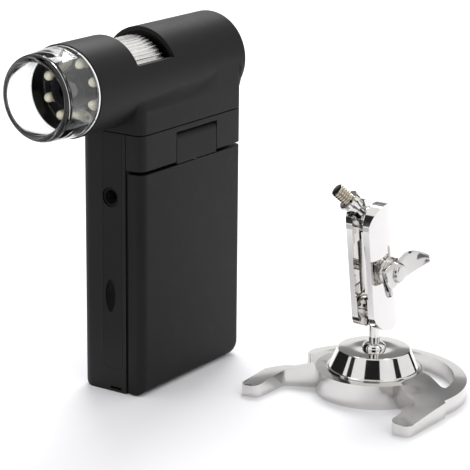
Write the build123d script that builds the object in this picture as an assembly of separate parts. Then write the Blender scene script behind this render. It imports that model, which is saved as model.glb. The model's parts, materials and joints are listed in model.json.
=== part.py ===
from build123d import *
import math
import os

# Pocket microscope with a flip-up display, and the polished table stand that goes with it.
# Lengths in millimetres. The lens looks along -X, the display's back faces -Y, and +Z is up.
# The origin is the middle of the handset's foot, on the table.

# Handset housing
body_width = 79.0
body_depth = 35.0
seam_z = 122.5
low_corner_r = 6.6
front_edge_r = 4.2
rear_edge_r = 6.0
wall = 2.2
seam_gap = 0.5
seam_inset = 1.1
display_depth = 8.1
split_depth = 11.1
rim_depth = 9.3
rim_gap = 0.3
plate_inset = 0.9
plate_gap = 0.1
display_gap = 0.4
strip_low_z = 105.9
display_top_z = 104.3
floor_gap = 0.6
overrun = 1.0

# Head tube, with its thumb window
tube_r = 20.85
tube_wall = 2.0
tube_seam_rise = 1.3
tube_set_back = 0.19
tube_front_x = -67.35
tube_rear_x = 42.7
tube_end_fillet = 1.4
tube_mouth_fillet = 0.5
window_front_x = -39.0
window_rear_x = -12.0
window_sill_rise = 8.95
saddle_height = 14.1
saddle_top_r = 4.0
cable_way_length = 16.0
cable_way_width = 10.0
cable_way_x = 14.0

# Clear hood over the lights
hood_length = 19.2
hood_root_step = 0.5
hood_taper = 1.45
hood_wall = 3.2
hood_root_wall = 3.05
hood_spigot_length = 8.4
hood_spigot_gap = 0.05
hood_lip_r = 2.3
hood_mouth_r = 0.5

# Light ring and optics
board_thickness = 1.6
light_count = 8
light_circle_share = 0.728
light_r_share = 0.139
light_length = 6.4
light_phase = 21.8
bore_gap = 0.05
barrel_r_share = 0.75
barrel_step = 0.6
barrel_front_x = -70.5
barrel_length = 44.0
barrel_way_gap = 0.6
lens_r_share = 0.6
lens_thickness = 2.4
lens_recess = 3.0
lens_dome = 0.7
lens_funnel_share = 0.82
lens_funnel_depth = 1.6
sleeve_r_share = 0.686
sleeve_rear_x = 4.0
flange_thickness = 2.0
stop_ring_step = 2.0
stop_ring_thickness = 0.8
sensor_thickness = 2.0

# Focus wheel
wheel_window_gap = 1.35
wheel_rib_depth = 0.75
wheel_rib_count = 54
wheel_front_x = -36.6
wheel_rear_x = -14.4
wheel_side_gap = 0.2

# Display hinge
hinge_x0 = -13.0
hinge_x1 = 18.0
hinge_side_gap = 0.45
hinge_barrel_r = 3.0
hinge_z = 116.0
recess_top_z = 119.6
recess_back_gap = 0.5
hinge_foot_gap = 0.5
hinge_pin_r = 1.5
hinge_pin_seat = 4.0
twist_pin_r = 2.2
twist_pin_rise = 4.2
twist_pin_drop = 8.5
twist_washer_r = 4.6

# Display
display_side_gap = 0.15
display_wall = 1.8
display_rim = 3.0
display_bezel_thickness = 1.6
screen_side_margin = 4.2
screen_height = 53.0
screen_mid_z = 58.0
screen_thickness = 2.0
screen_seat = 0.8
screen_step = 0.4
pivot_block_width = 16.0
pivot_block_height = 12.0

# Keys under the display
key_r = 4.2
key_slot_gap = 0.3
key_flange_r = 5.4
key_flange_thickness = 1.0
key_pitch_x = 15.0
key_pitch_z = 13.0
key_mid_z = 56.0
key_far_z = 24.0
key_dome = 0.15

# Main board and battery
board_gap_y = 2.4
board_socket_gap = 1.5
main_board_low_z = 8.0
main_board_top_z = 101.0
standoff_r = 2.4
standoff_inset = 6.0
switch_r = 2.0
switch_height = 0.6
bay_width = 44.0
bay_low_z = 18.0
bay_height = 60.0
bay_depth = 9.0
bay_wall = 1.2
bay_ledge = 1.5
door_thickness = 1.8
door_gap = 0.2
battery_side_gap = 3.5
battery_end_gap = 3.0
battery_thickness = 6.2
battery_corner_r = 2.5
grip_width = 16.0
grip_depth = 0.6
grip_height = 1.6
grip_pitch = 3.4
grip_count = 4
boss_r = 3.2
boss_inset_x = 7.5
boss_inset_z = 9.5
screw_head_r = 2.6
screw_head_depth = 1.8
screw_r = 1.2
screw_length = 12.0
screw_drive_r = 1.0

# Narrow side: inlay, tripod socket, card slot, data socket
inlay_y = -0.8
inlay_width = 10.6
inlay_low_z = 11.2
inlay_corner_r = 3.2
inlay_thickness = 1.0
inlay_gap = 0.1
socket_y = 0.15
socket_z = 92.3
socket_r = 4.5
socket_bore_r = 3.2
socket_bore_depth = 8.0
socket_length = 10.0
socket_lip = 0.5
card_y = 0.5
card_z = 45.9
card_scoop_chord = 19.6
card_scoop_bow = 3.0
card_scoop_rise = 1.0
card_boss_thickness = 1.5
card_boss_width = 8.0
card_slot_length = 12.4
card_slot_width = 1.2
card_box_length = 15.0
card_box_width = 3.0
card_box_depth = 14.0
strap_y = -2.25
strap_length = 6.3
strap_slit = 1.2
strap_bar = 1.6
usb_z = 30.0
usb_width = 8.2
usb_height = 4.4
usb_depth = 8.5
usb_wall = 0.5
usb_tongue = 1.2
usb_opening_gap = 0.3

# Stand: place and base
stand_x = 32.65
stand_y = -96.55
stand_turn = -1.8
hub_r = 26.8
hub_height = 11.2
hub_rear_r = 22.8
dome_root_r = 20.6
dome_top_r = 16.7
dome_height = 9.5
dome_wall = 3.0
dome_lip_r = 21.6
dome_lip_height = 0.8
dome_fillet = 0.6
ring_r = 44.4
ring_shift = 2.5
ring_bore_r = 37.2
ring_top_z = 8.2
foot_tip_x = 43.0
foot_inner_y = 35.4
foot_outer_y = 45.4
foot_tip_z = 5.2
foot_tip_r = 3.6
foot_root_x = 11.5
shoulder_x = 21.2
neck_x = 15.2
neck_y = 24.6
shoulder_r = 3.0
slope_start_r = 27.5
slope_mid_r = 37.0
slope_ring_r = 47.0
slope_foot_r = 60.0
reach_r = 72.0
ring_slope_drop = 1.0
slot_end_r = 1.8
slot_inner_x = 10.4
slot_inner_y = 15.6
slot_outer_x = -2.4
slot_outer_y = 44.4
rim_fillet = 0.6
under_bore_r = 20.0
under_post_r = 8.5
under_depth = 7.6
nut_r = 6.2
nut_height = 4.0
nut_lift = 1.2
nut_way_gap = 0.9

# Stand: rod, balls and clamp
rod_r = 2.5
rod_gap = 0.05
bead_r = 5.45
bead_height = 2.8
ball_r = 5.5
ball_gap = 0.05
lower_ball_z = 39.5
ball_spacing = 45.0
clamp_lean = 9.0
clamp_half_width = 10.4
clamp_low_end = 8.6
clamp_high_end = 8.0
clamp_edge_y = 3.4
clamp_edge_thickness = 2.6
clamp_crown_y = 8.9
pad_face_y = 2.8
pad_reach = 9.4
rail_r = 3.4
rail_low_reach = 0.9
rail_top_reach = 3.2
clamp_screw_r = 2.4
clamp_screw_gap = 0.15
screw_cap_r = 4.0
screw_cap_height = 1.4
knob_z = 20.5
knob_seat_r = 6.6
knob_seat_y = 9.3
washer_r = 6.2
washer_thickness = 1.0

# Stand: wing knob
wing_count = 2
wing_phase = 6.0
wing_skirt_r = 6.6
wing_skirt_height = 1.6
wing_hub_r = 5.4
wing_hub_tip_r = 4.2
wing_hub_height = 5.4
wing_hub_dome = 1.8
wing_reach = 16.6
wing_rise = 10.0
wing_width = 12.2
wing_thickness = 3.0
wing_reach_shares = (0.12, 0.39, 0.66, 0.88, 1.0)
wing_rise_shares = (0.26, 0.24, 0.34, 0.62, 1.0)
wing_width_shares = (0.95, 1.0, 0.93, 0.68, 0.28)
wing_thickness_shares = (1.0, 0.8, 0.63, 0.53, 0.4)
wing_pitches = (0.0, 4.0, 24.0, 56.0, 70.0)

# Stand: upper ball stud
stud_swing = 33.8
stud_lift = 25.5
stud_stem_r = 2.5
stud_block_r = 3.6
stud_block_start = 8.2
lock_start = 11.3
lock_r = 5.1
lock_thickness = 1.5
lock_rim_r = 4.7
lock_rim_thickness = 1.4
lock_gap = 0.05
lock_knurl_count = 30
lock_knurl_depth = 0.3
thread_r = 3.1
thread_core_r = 2.3
thread_lead = 0.4
stud_end = 21.8
thread_chamfer = 0.5
relief_gap = 0.5
stud_tilt_range = 15.0

# Places worked out from the sizes above
front_y = -body_depth / 2
rear_y = body_depth / 2
side_x = body_width / 2
display_back_y = front_y + display_depth - display_gap
shell_face_y = front_y + display_depth
split_y = front_y + split_depth
tube_axis_y = front_y + tube_r + tube_set_back
tube_axis_z = seam_z + tube_seam_rise + tube_r
saddle_top_z = seam_z + saddle_height
tube_bore_r = tube_r - tube_wall
seat_r = tube_bore_r - bore_gap
wheel_r = tube_bore_r - wheel_window_gap
sleeve_r = wheel_r * sleeve_r_share
stop_ring_r = sleeve_r + stop_ring_step
barrel_r = sleeve_r * barrel_r_share
lens_r = barrel_r * lens_r_share
lens_funnel_r = barrel_r * lens_funnel_share
barrel_bore_r = lens_r - barrel_step
hood_root_r = tube_r - hood_root_step
hood_front_r = hood_root_r - hood_taper
hood_bore_r = hood_front_r - hood_wall
hood_root_bore_r = hood_root_r - hood_root_wall
light_circle_r = hood_root_bore_r * light_circle_share
light_r = hood_root_bore_r * light_r_share
hood_front_x = tube_front_x - hood_length
light_board_x = tube_front_x + hood_spigot_length + bore_gap
sleeve_front_x = light_board_x + board_thickness
sleeve_bore_r = barrel_r + bore_gap
hinge_y = front_y + hinge_barrel_r
hinge_mid_x = (hinge_x0 + hinge_x1) / 2
main_board_y = split_y + board_gap_y
main_board_width = body_width - 2 * (socket_length + board_socket_gap)
battery_width = bay_width - 2 * battery_side_gap
battery_height = bay_height - 2 * battery_end_gap
screen_width = body_width - 2 * screen_side_margin
hinge_leg_depth = 2 * hinge_barrel_r
rim_y = front_y + rim_depth


def block(x0, x1, y0, y1, z0, z1):
    """A box between two corners."""
    return Pos((x0 + x1) / 2, (y0 + y1) / 2, (z0 + z1) / 2) * Box(x1 - x0, y1 - y0, z1 - z0)


def bar_x(r, x0, x1, y, z):
    """A round bar along X."""
    return Pos((x0 + x1) / 2, y, z) * Rot(0, 90, 0) * Cylinder(r, x1 - x0)


def bar_y(r, x, y0, y1, z):
    """A round bar along Y."""
    return Pos(x, (y0 + y1) / 2, z) * Rot(90, 0, 0) * Cylinder(r, y1 - y0)


def bar_z(r, x, y, z0, z1):
    """A round bar along Z."""
    return Pos(x, y, (z0 + z1) / 2) * Cylinder(r, z1 - z0)


def on_axis(shape):
    """Move a shape made about the X axis onto the head's axis."""
    return Pos(0, tube_axis_y, tube_axis_z) * shape


def turned(points):
    """Revolve a half section of (x, radius) points about the head's axis."""
    profile = make_face(Polyline(*[(x, 0, r) for x, r in points], close=True))
    return on_axis(revolve(profile, Axis.X))


def slab(width, y0, y1, z0, z1, low_r):
    """An upright slab in the X-Z plane, its lower corner away from the lens rounded."""
    outline = Pos(0, (z0 + z1) / 2) * Rectangle(width, z1 - z0)
    outline = fillet(outline.vertices().group_by(Axis.Y)[0].sort_by(Axis.X)[-1], low_r)
    plane = Plane(origin=(0, y1, 0), x_dir=(1, 0, 0), z_dir=(0, -1, 0))
    return extrude(plane * outline, y1 - y0)


def soften(solid, face, radius, top_z):
    """Round a flat face's outline, apart from its straight top edge."""
    edges = [e for e in face.edges() if e.center().Z < top_z - radius / 2]
    return fillet(edges, radius)


def upright_edges(solid, y, tolerance):
    """The vertical edges of a solid that lie on a plane of constant y."""
    return [e for e in solid.edges().filter_by(Axis.Z) if abs(e.center().Y - y) < tolerance]


def rear_shell():
    """Back half of the body: an open tray with screw bosses and a battery bay."""
    top_z = seam_z - seam_gap
    shell = slab(body_width, rim_y, rear_y, 0, top_z, low_corner_r)
    shell = soften(shell, shell.faces().sort_by(Axis.Y)[-1], rear_edge_r, top_z)
    shell -= slab(body_width - 2 * wall, rim_y - overrun, rear_y - wall, wall, top_z - wall,
                  low_corner_r - wall)
    tongue_x = side_x - seam_inset
    shell += block(-tongue_x, tongue_x, rim_y + seam_inset, rear_y - rear_edge_r, top_z - seam_gap, seam_z)
    boss_y = card_boss_width / 2
    boss_z = card_scoop_chord / 2
    shell += block(-side_x + wall - seam_gap, -side_x + wall + card_boss_thickness,
                   card_y - boss_y, card_y + boss_y, card_z - boss_z, card_z + boss_z)
    for x in (-side_x + boss_inset_x, side_x - boss_inset_x):
        for z in (boss_inset_z, top_z - boss_inset_z):
            shell += bar_y(boss_r, x, split_y + seam_gap, rear_y - wall, z)
            shell -= bar_y(screw_r, x, rear_y - screw_length - wall, rear_y, z)
            shell -= bar_y(screw_head_r, x, rear_y - screw_head_depth, rear_y + overrun, z)
    shell += block(-bay_width / 2 - bay_wall, bay_width / 2 + bay_wall, rear_y - bay_depth - bay_wall,
                   rear_y - wall, bay_low_z - bay_wall, bay_low_z + bay_height + bay_wall)
    shell -= block(-bay_width / 2, bay_width / 2, rear_y - door_thickness, rear_y + overrun,
                   bay_low_z, bay_low_z + bay_height)
    shell -= block(-bay_width / 2 + bay_ledge, bay_width / 2 - bay_ledge, rear_y - bay_depth, rear_y,
                   bay_low_z + bay_ledge, bay_low_z + bay_height - bay_ledge)
    shell -= cable_way(top_z - wall - overrun)
    shell -= inlay_outline(inlay_thickness, inlay_gap)
    shell -= bar_x(socket_r + bore_gap, -side_x - overrun, -side_x + wall + overrun, socket_y, socket_z)
    shell -= card_scoop()
    shell -= card_slot(card_boss_thickness)
    shell -= strap_way()
    half_w = usb_width / 2 + usb_opening_gap
    half_h = usb_height / 2 + usb_opening_gap
    shell -= block(side_x - wall - overrun, side_x + overrun, -half_h, half_h, usb_z - half_w, usb_z + half_w)
    return shell


def card_scoop():
    """Almond-shaped thumb scoop: a shallow arc turned about its upright chord, just outside the face."""
    half = card_scoop_chord / 2
    bow = ThreePointArc((0, 0, -half), (card_scoop_bow, 0, 0), (0, 0, half))
    bow += Line((0, 0, half), (0, 0, -half))
    return Pos(-side_x - card_scoop_rise, card_y, card_z) * revolve(make_face(bow), Axis.Z)


def card_slot(reach):
    """The slit that takes the card, from outside the wall to a reach behind it."""
    return block(-side_x - overrun, -side_x + wall + reach + overrun, card_y - card_slot_width / 2,
                 card_y + card_slot_width / 2, card_z - card_slot_length / 2, card_z + card_slot_length / 2)


def strap_way():
    """The two slits at the foot of the lens side that leave a small bar for a wrist strap."""
    y0 = strap_y - strap_length / 2
    y1 = strap_y + strap_length / 2
    inner_x = -side_x + strap_bar + strap_slit
    side = block(-side_x - overrun, inner_x, y0, y1, strap_slit, 2 * strap_slit)
    return side + block(-side_x + strap_bar, inner_x, y0, y1, -overrun, 2 * strap_slit)


def cable_way(low_z):
    """The hole that takes the flat cable from the head down into the body."""
    return block(cable_way_x - cable_way_length / 2, cable_way_x + cable_way_length / 2,
                 -cable_way_width / 2, cable_way_width / 2, low_z, seam_z + overrun)


def inlay_outline(depth, gap):
    """The long inlay on the lens side, rounded at its lower corners, down to a depth below the face."""
    outer = -side_x - overrun if gap else -side_x
    top_z = seam_z + overrun if gap else seam_z - seam_gap
    low_z = inlay_low_z - gap
    outline = Pos(inlay_y, (low_z + top_z) / 2) * Rectangle(inlay_width + 2 * gap, top_z - low_z)
    outline = fillet(outline.vertices().group_by(Axis.Y)[0], inlay_corner_r + gap)
    plane = Plane(origin=(outer, 0, 0), x_dir=(0, 1, 0), z_dir=(1, 0, 0))
    return extrude(plane * outline, -side_x + depth - outer)


def side_inlay():
    """The inlay itself, with the openings for the tripod socket, the card and the strap."""
    inlay = inlay_outline(inlay_thickness, 0)
    inlay -= bar_x(socket_r + bore_gap, -side_x - overrun, -side_x + wall, socket_y, socket_z)
    return inlay - card_scoop() - card_slot(0)


def front_shell():
    """Front half of the body: the key plate behind the display, and the hinge strip above it."""
    top_z = seam_z - seam_gap
    edge_y = rim_y - rim_gap
    inset = wall + plate_gap
    lip_x = side_x - seam_inset
    plate = slab(body_width - 2 * plate_inset, shell_face_y, edge_y, plate_inset, top_z,
                 low_corner_r - plate_inset)
    strip = block(-side_x, side_x, front_y, edge_y, strip_low_z, top_z)
    strip = fillet(upright_edges(strip, front_y, seam_gap), front_edge_r)
    inner = slab(body_width - 2 * inset, shell_face_y, split_y, inset, top_z - inset,
                 low_corner_r - inset)
    shell = plate + strip + inner
    shell += block(-lip_x, lip_x, front_y + front_edge_r, edge_y, top_z - seam_gap, seam_z)
    shell -= block(hinge_x0 - hinge_side_gap, hinge_x1 + hinge_side_gap, front_y - overrun,
                   front_y + hinge_leg_depth + recess_back_gap, strip_low_z - overrun, recess_top_z)
    shell -= bar_x(hinge_pin_r + bore_gap, hinge_x0 - hinge_pin_seat, hinge_x1 + hinge_pin_seat,
                   hinge_y, hinge_z)
    for x, z in key_places():
        shell -= bar_y(key_r + key_slot_gap, x, shell_face_y - overrun, split_y + overrun, z)
    for x, z in standoff_places():
        shell += bar_y(standoff_r, x, split_y - seam_gap, main_board_y, z)
    return shell


def key_places():
    """Centres of the six keys: a cross of five, and one alone below it."""
    cross = [(0, 0), (0, 1), (0, -1), (1, 0), (-1, 0)]
    return [(i * key_pitch_x, key_mid_z + j * key_pitch_z) for i, j in cross] + [(0, key_far_z)]


def standoff_places():
    """Centres of the four posts that carry the main board."""
    x = main_board_width / 2 - standoff_inset
    return [(i * x, z) for i in (-1, 1)
            for z in (main_board_low_z + standoff_inset, main_board_top_z - standoff_inset)]


def key(x, z):
    """One round key, held behind the plate by its flange."""
    cap = bar_y(key_r, x, shell_face_y + key_dome, split_y, z)
    cap = chamfer(cap.edges().group_by(Axis.Y)[0], key_dome)
    return cap + bar_y(key_flange_r, x, split_y, split_y + key_flange_thickness, z)


def main_board():
    """Circuit board with a press switch behind each key."""
    half = main_board_width / 2
    board = block(-half, half, main_board_y, main_board_y + board_thickness, main_board_low_z, main_board_top_z)
    for x, z in key_places():
        board += bar_y(switch_r, x, main_board_y - switch_height, main_board_y, z)
    return board


def battery_parts():
    """Battery pack and the door that closes its bay."""
    mid_z = bay_low_z + bay_height / 2
    back_y = rear_y - bay_depth
    pack = block(-battery_width / 2, battery_width / 2, back_y, back_y + battery_thickness,
                 mid_z - battery_height / 2, mid_z + battery_height / 2)
    pack = fillet(pack.edges().filter_by(Axis.Y), battery_corner_r)
    half_w = bay_width / 2 - door_gap
    half_h = bay_height / 2 - door_gap
    door = block(-half_w, half_w, rear_y - door_thickness, rear_y, mid_z - half_h, mid_z + half_h)
    for i in range(grip_count):
        z = mid_z + half_h - grip_pitch * (i + 1.5)
        door -= block(-grip_width / 2, grip_width / 2, rear_y - grip_depth, rear_y + overrun,
                      z - grip_height / 2, z + grip_height / 2)
    return pack, door


def housing_screws():
    """Four screws that draw the two body halves together."""
    screws = []
    for x in (-side_x + boss_inset_x, side_x - boss_inset_x):
        for z in (boss_inset_z, seam_z - seam_gap - boss_inset_z):
            head_y = rear_y - screw_head_depth
            screw = bar_y(screw_head_r - bore_gap, x, head_y, head_y + screw_head_depth / 2, z)
            screw += bar_y(screw_r - bore_gap, x, rear_y - screw_length, head_y, z)
            screw -= bar_y(screw_drive_r, x, head_y + screw_head_depth / 4, rear_y, z)
            screws.append(screw)
    return Compound(children=screws)


def tripod_socket():
    """Threaded metal insert for the stand's stud."""
    inner_x = -side_x + socket_length
    insert = bar_x(socket_r, -side_x + socket_lip, inner_x, socket_y, socket_z)
    return insert - bar_x(socket_bore_r, -side_x - overrun, -side_x + socket_lip + socket_bore_depth,
                          socket_y, socket_z)


def card_socket():
    """Metal cage of the memory card slot."""
    outer_x = -side_x + wall + card_boss_thickness + bore_gap
    half_l = card_box_length / 2
    half_w = card_box_width / 2
    cage = block(outer_x, outer_x + card_box_depth, card_y - half_w, card_y + half_w,
                 card_z - half_l, card_z + half_l)
    return cage - block(outer_x - overrun, outer_x + card_box_depth - overrun, card_y - card_slot_width / 2,
                        card_y + card_slot_width / 2, card_z - card_slot_length / 2,
                        card_z + card_slot_length / 2)


def usb_socket():
    """Data socket on the far narrow side."""
    outer_x = side_x - usb_opening_gap
    shell = block(outer_x - usb_depth, outer_x, -usb_height / 2, usb_height / 2,
                  usb_z - usb_width / 2, usb_z + usb_width / 2)
    half_h = usb_height / 2 - usb_wall
    half_w = usb_width / 2 - usb_wall
    shell -= block(outer_x - usb_depth + usb_tongue, outer_x + overrun, -half_h, half_h,
                   usb_z - half_w, usb_z + half_w)
    return shell + block(outer_x - usb_depth, outer_x - usb_tongue, -usb_tongue / 2, usb_tongue / 2,
                         usb_z - half_w / 2, usb_z + half_w / 2)


def head_housing():
    """Head: the lens tube, its saddle on the body, and the thumb window."""
    tube = bar_x(tube_r, tube_front_x, tube_rear_x, tube_axis_y, tube_axis_z)
    tube = fillet(tube.edges().group_by(Axis.X)[-1], tube_end_fillet)
    tube = fillet(tube.edges().group_by(Axis.X)[0], tube_mouth_fillet)
    saddle = block(-side_x, side_x, front_y, rear_y, seam_z, saddle_top_z)
    saddle = fillet(upright_edges(saddle, front_y, seam_gap), front_edge_r)
    saddle = fillet(upright_edges(saddle, rear_y, seam_gap), rear_edge_r)
    saddle = fillet(saddle.edges().group_by(Axis.Z)[-1], saddle_top_r)
    head = tube + saddle
    head -= bar_x(tube_bore_r, tube_front_x - overrun, tube_rear_x - tube_wall, tube_axis_y, tube_axis_z)
    head -= block(window_front_x, window_rear_x, tube_axis_y - tube_r - overrun,
                  tube_axis_y + tube_r + overrun, tube_axis_z + window_sill_rise,
                  tube_axis_z + tube_r + overrun)
    head -= cable_way(seam_z - overrun)
    head -= block(cable_way_x - cable_way_length / 2, cable_way_x + cable_way_length / 2,
                  -cable_way_width / 2, cable_way_width / 2, seam_z, tube_axis_z - sleeve_r)
    return head


def hood():
    """Clear hood that sets the working distance; its spigot fits the tube's mouth."""
    spigot_x = tube_front_x + hood_spigot_length
    body = turned([(hood_front_x, hood_bore_r), (hood_front_x, hood_front_r),
                   (tube_front_x, hood_root_r), (tube_front_x, tube_bore_r - hood_spigot_gap),
                   (spigot_x, tube_bore_r - hood_spigot_gap), (spigot_x, hood_root_bore_r),
                   (tube_front_x, hood_root_bore_r)])
    body = fillet(body.edges().group_by(Axis.X)[0].sort_by(SortBy.RADIUS)[-1], hood_lip_r)
    return fillet(body.edges().group_by(Axis.X)[0].sort_by(SortBy.RADIUS)[0], hood_mouth_r)


def light_board():
    """Ring board that carries the lights, seated in the tube behind the hood."""
    disc = bar_x(seat_r, light_board_x, light_board_x + board_thickness, tube_axis_y, tube_axis_z)
    return disc - bar_x(barrel_r + barrel_way_gap, light_board_x - overrun, sleeve_front_x + overrun,
                        tube_axis_y, tube_axis_z)


def lights():
    """White lights round the lens, each a short barrel with a domed tip."""
    bulbs = []
    for i in range(light_count):
        angle = math.radians(light_phase + 360 * i / light_count)
        y = tube_axis_y - light_circle_r * math.cos(angle)
        z = tube_axis_z + light_circle_r * math.sin(angle)
        dome_x = light_board_x - light_length + light_r
        bulb = bar_x(light_r, dome_x, light_board_x, y, z) + Pos(dome_x, y, z) * Sphere(light_r)
        bulbs.append(bulb)
    return Compound(children=bulbs)


def lens_barrel():
    """Sliding barrel that carries the front lens."""
    rear_x = barrel_front_x + barrel_length
    recess_x = barrel_front_x + lens_recess + lens_thickness
    return turned([(barrel_front_x, lens_funnel_r), (barrel_front_x, barrel_r),
                   (rear_x, barrel_r), (rear_x, barrel_bore_r), (recess_x, barrel_bore_r),
                   (recess_x, lens_r + bore_gap), (barrel_front_x + lens_funnel_depth, lens_r + bore_gap)])


def front_lens():
    """Domed front lens, seated on the barrel's inner step."""
    seat_x = barrel_front_x + lens_recess + lens_thickness
    edge_x = barrel_front_x + lens_recess + lens_dome
    dome_r = (lens_r ** 2 + lens_dome ** 2) / (2 * lens_dome)
    disc = bar_x(lens_r, barrel_front_x + lens_recess, seat_x, tube_axis_y, tube_axis_z)
    return disc & Pos(edge_x - lens_dome + dome_r, tube_axis_y, tube_axis_z) * Sphere(dome_r)


def optics_sleeve():
    """Fixed sleeve in the tube: the barrel slides inside it and the wheel turns on it."""
    rear_x = sleeve_rear_x
    stop0 = wheel_front_x - wheel_side_gap
    stop1 = wheel_rear_x + wheel_side_gap
    return turned([(sleeve_front_x, sleeve_bore_r), (sleeve_front_x, seat_r),
                   (sleeve_front_x + flange_thickness, seat_r),
                   (sleeve_front_x + flange_thickness, sleeve_r),
                   (stop0 - stop_ring_thickness, sleeve_r), (stop0 - stop_ring_thickness, stop_ring_r),
                   (stop0, stop_ring_r), (stop0, sleeve_r),
                   (stop1, sleeve_r), (stop1, stop_ring_r),
                   (stop1 + stop_ring_thickness, stop_ring_r), (stop1 + stop_ring_thickness, sleeve_r),
                   (window_rear_x, sleeve_r), (window_rear_x, seat_r),
                   (window_rear_x + flange_thickness, seat_r), (window_rear_x + flange_thickness, sleeve_r),
                   (rear_x - flange_thickness, sleeve_r), (rear_x - flange_thickness, seat_r),
                   (rear_x, seat_r), (rear_x, sleeve_bore_r)])


def focus_wheel():
    """Ribbed thumb wheel: straight ribs along its axis, as many as turn under the window."""
    root_r = wheel_r - wheel_rib_depth
    pitch = 360 / wheel_rib_count
    crest_share = 0.3
    points = []
    for i in range(wheel_rib_count):
        for share, r in ((-crest_share, root_r), (-crest_share / 2, wheel_r),
                         (crest_share / 2, wheel_r), (crest_share, root_r)):
            a = math.radians(pitch * (i + share))
            points.append((r * math.cos(a), r * math.sin(a)))
    ring = make_face(Polyline(*points, close=True)) - Circle(sleeve_r + bore_gap)
    wheel = extrude(ring, wheel_rear_x - wheel_front_x)
    return on_axis(Pos(wheel_front_x, 0, 0) * Rot(0, 90, 0) * wheel)


def sensor_parts():
    """Round sensor board on the sleeve's rear flange, and the sensor that looks down the bore."""
    board = bar_x(seat_r, sleeve_rear_x, sleeve_rear_x + board_thickness, tube_axis_y, tube_axis_z)
    half = barrel_r / 2
    sensor = block(sleeve_rear_x - sensor_thickness, sleeve_rear_x, tube_axis_y - half, tube_axis_y + half,
                   tube_axis_z - half, tube_axis_z + half)
    return board, sensor


def hinge_arm():
    """Hinge tab: a barrel on the flip pin, with a leg that carries the display."""
    foot_z = display_top_z + hinge_foot_gap
    arm = bar_x(hinge_barrel_r, hinge_x0, hinge_x1, hinge_y, hinge_z)
    leg = block(hinge_x0, hinge_x1, front_y, front_y + hinge_leg_depth, foot_z, hinge_z)
    arm += leg
    arm -= bar_x(hinge_pin_r + bore_gap, hinge_x0 - overrun, hinge_x1 + overrun, hinge_y, hinge_z)
    return arm - bar_z(twist_pin_r + bore_gap, hinge_mid_x, front_y + hinge_leg_depth / 2, foot_z - overrun,
                       display_top_z + twist_pin_rise)


def hinge_pin():
    """Steel pin across the hinge recess."""
    reach = hinge_pin_seat - bore_gap
    return bar_x(hinge_pin_r, hinge_x0 - reach, hinge_x1 + reach, hinge_y, hinge_z)


def twist_pin():
    """Short upright pin with a washer, between the hinge leg and the display."""
    y = front_y + hinge_leg_depth / 2
    pin = bar_z(twist_pin_r, hinge_mid_x, y, display_top_z - twist_pin_drop, display_top_z + twist_pin_rise)
    washer = bar_z(twist_washer_r, hinge_mid_x, y, display_top_z, display_top_z + hinge_foot_gap)
    return pin + (washer & block(hinge_x0, hinge_x1, front_y + display_wall, display_back_y,
                                 display_top_z, display_top_z + hinge_foot_gap))


def display_parts():
    """Display: outer cover, inner frame with its window, and the screen between them."""
    width = body_width - 2 * display_side_gap
    frame_y = display_back_y - display_bezel_thickness
    cover = slab(width, front_y, frame_y, floor_gap, display_top_z, low_corner_r)
    cover = soften(cover, cover.faces().sort_by(Axis.Y)[0], front_edge_r, display_top_z)
    cover -= slab(width - 2 * display_rim, front_y + display_wall, frame_y + overrun,
                  floor_gap + display_rim, display_top_z - display_rim, low_corner_r - display_rim)
    y = front_y + hinge_leg_depth / 2
    cover += block(hinge_mid_x - pivot_block_width / 2, hinge_mid_x + pivot_block_width / 2,
                   front_y + display_wall / 2, frame_y, display_top_z - pivot_block_height, display_top_z)
    cover -= bar_z(twist_pin_r + bore_gap, hinge_mid_x, y, display_top_z - twist_pin_drop,
                   display_top_z + overrun)
    frame = slab(width, frame_y, display_back_y, floor_gap, display_top_z, low_corner_r)
    z0 = screen_mid_z - screen_height / 2
    z1 = screen_mid_z + screen_height / 2
    x = screen_width / 2
    frame -= block(-x, x, frame_y - overrun, display_back_y + overrun, z0, z1)
    screen = block(-x - screen_seat, x + screen_seat, frame_y - screen_thickness, frame_y,
                   z0 - screen_seat, z1 + screen_seat)
    screen += block(-x + bore_gap, x - bore_gap, frame_y, display_back_y - screen_step,
                    z0 + bore_gap, z1 - bore_gap)
    return cover, frame, screen


def on_stand(shape):
    """Move a shape made about the stand's own axis to where the stand is."""
    return Pos(stand_x, stand_y, 0) * Rot(0, 0, stand_turn) * shape


def on_clamp(shape):
    """Move a shape made about the lower ball to the leaning clamp."""
    return on_stand(Pos(0, 0, lower_ball_z) * Rot(0, -clamp_lean, 0) * shape)


def foot():
    """One foot with its shoulder beside the hub, on the +Y side."""
    plan = make_face(Polyline(
        (0, 0), (0, foot_inner_y), (-foot_root_x, foot_outer_y), (-foot_tip_x, foot_outer_y),
        (-foot_tip_x, foot_inner_y), (-shoulder_x, foot_inner_y), (-neck_x, neck_y), close=True))
    solid = extrude(plan, hub_height)
    corner = [e for e in solid.edges().filter_by(Axis.Z)
              if abs(e.center().X + shoulder_x) < rim_fillet and e.center().Y > neck_y]
    return fillet(corner, shoulder_r)


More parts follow.
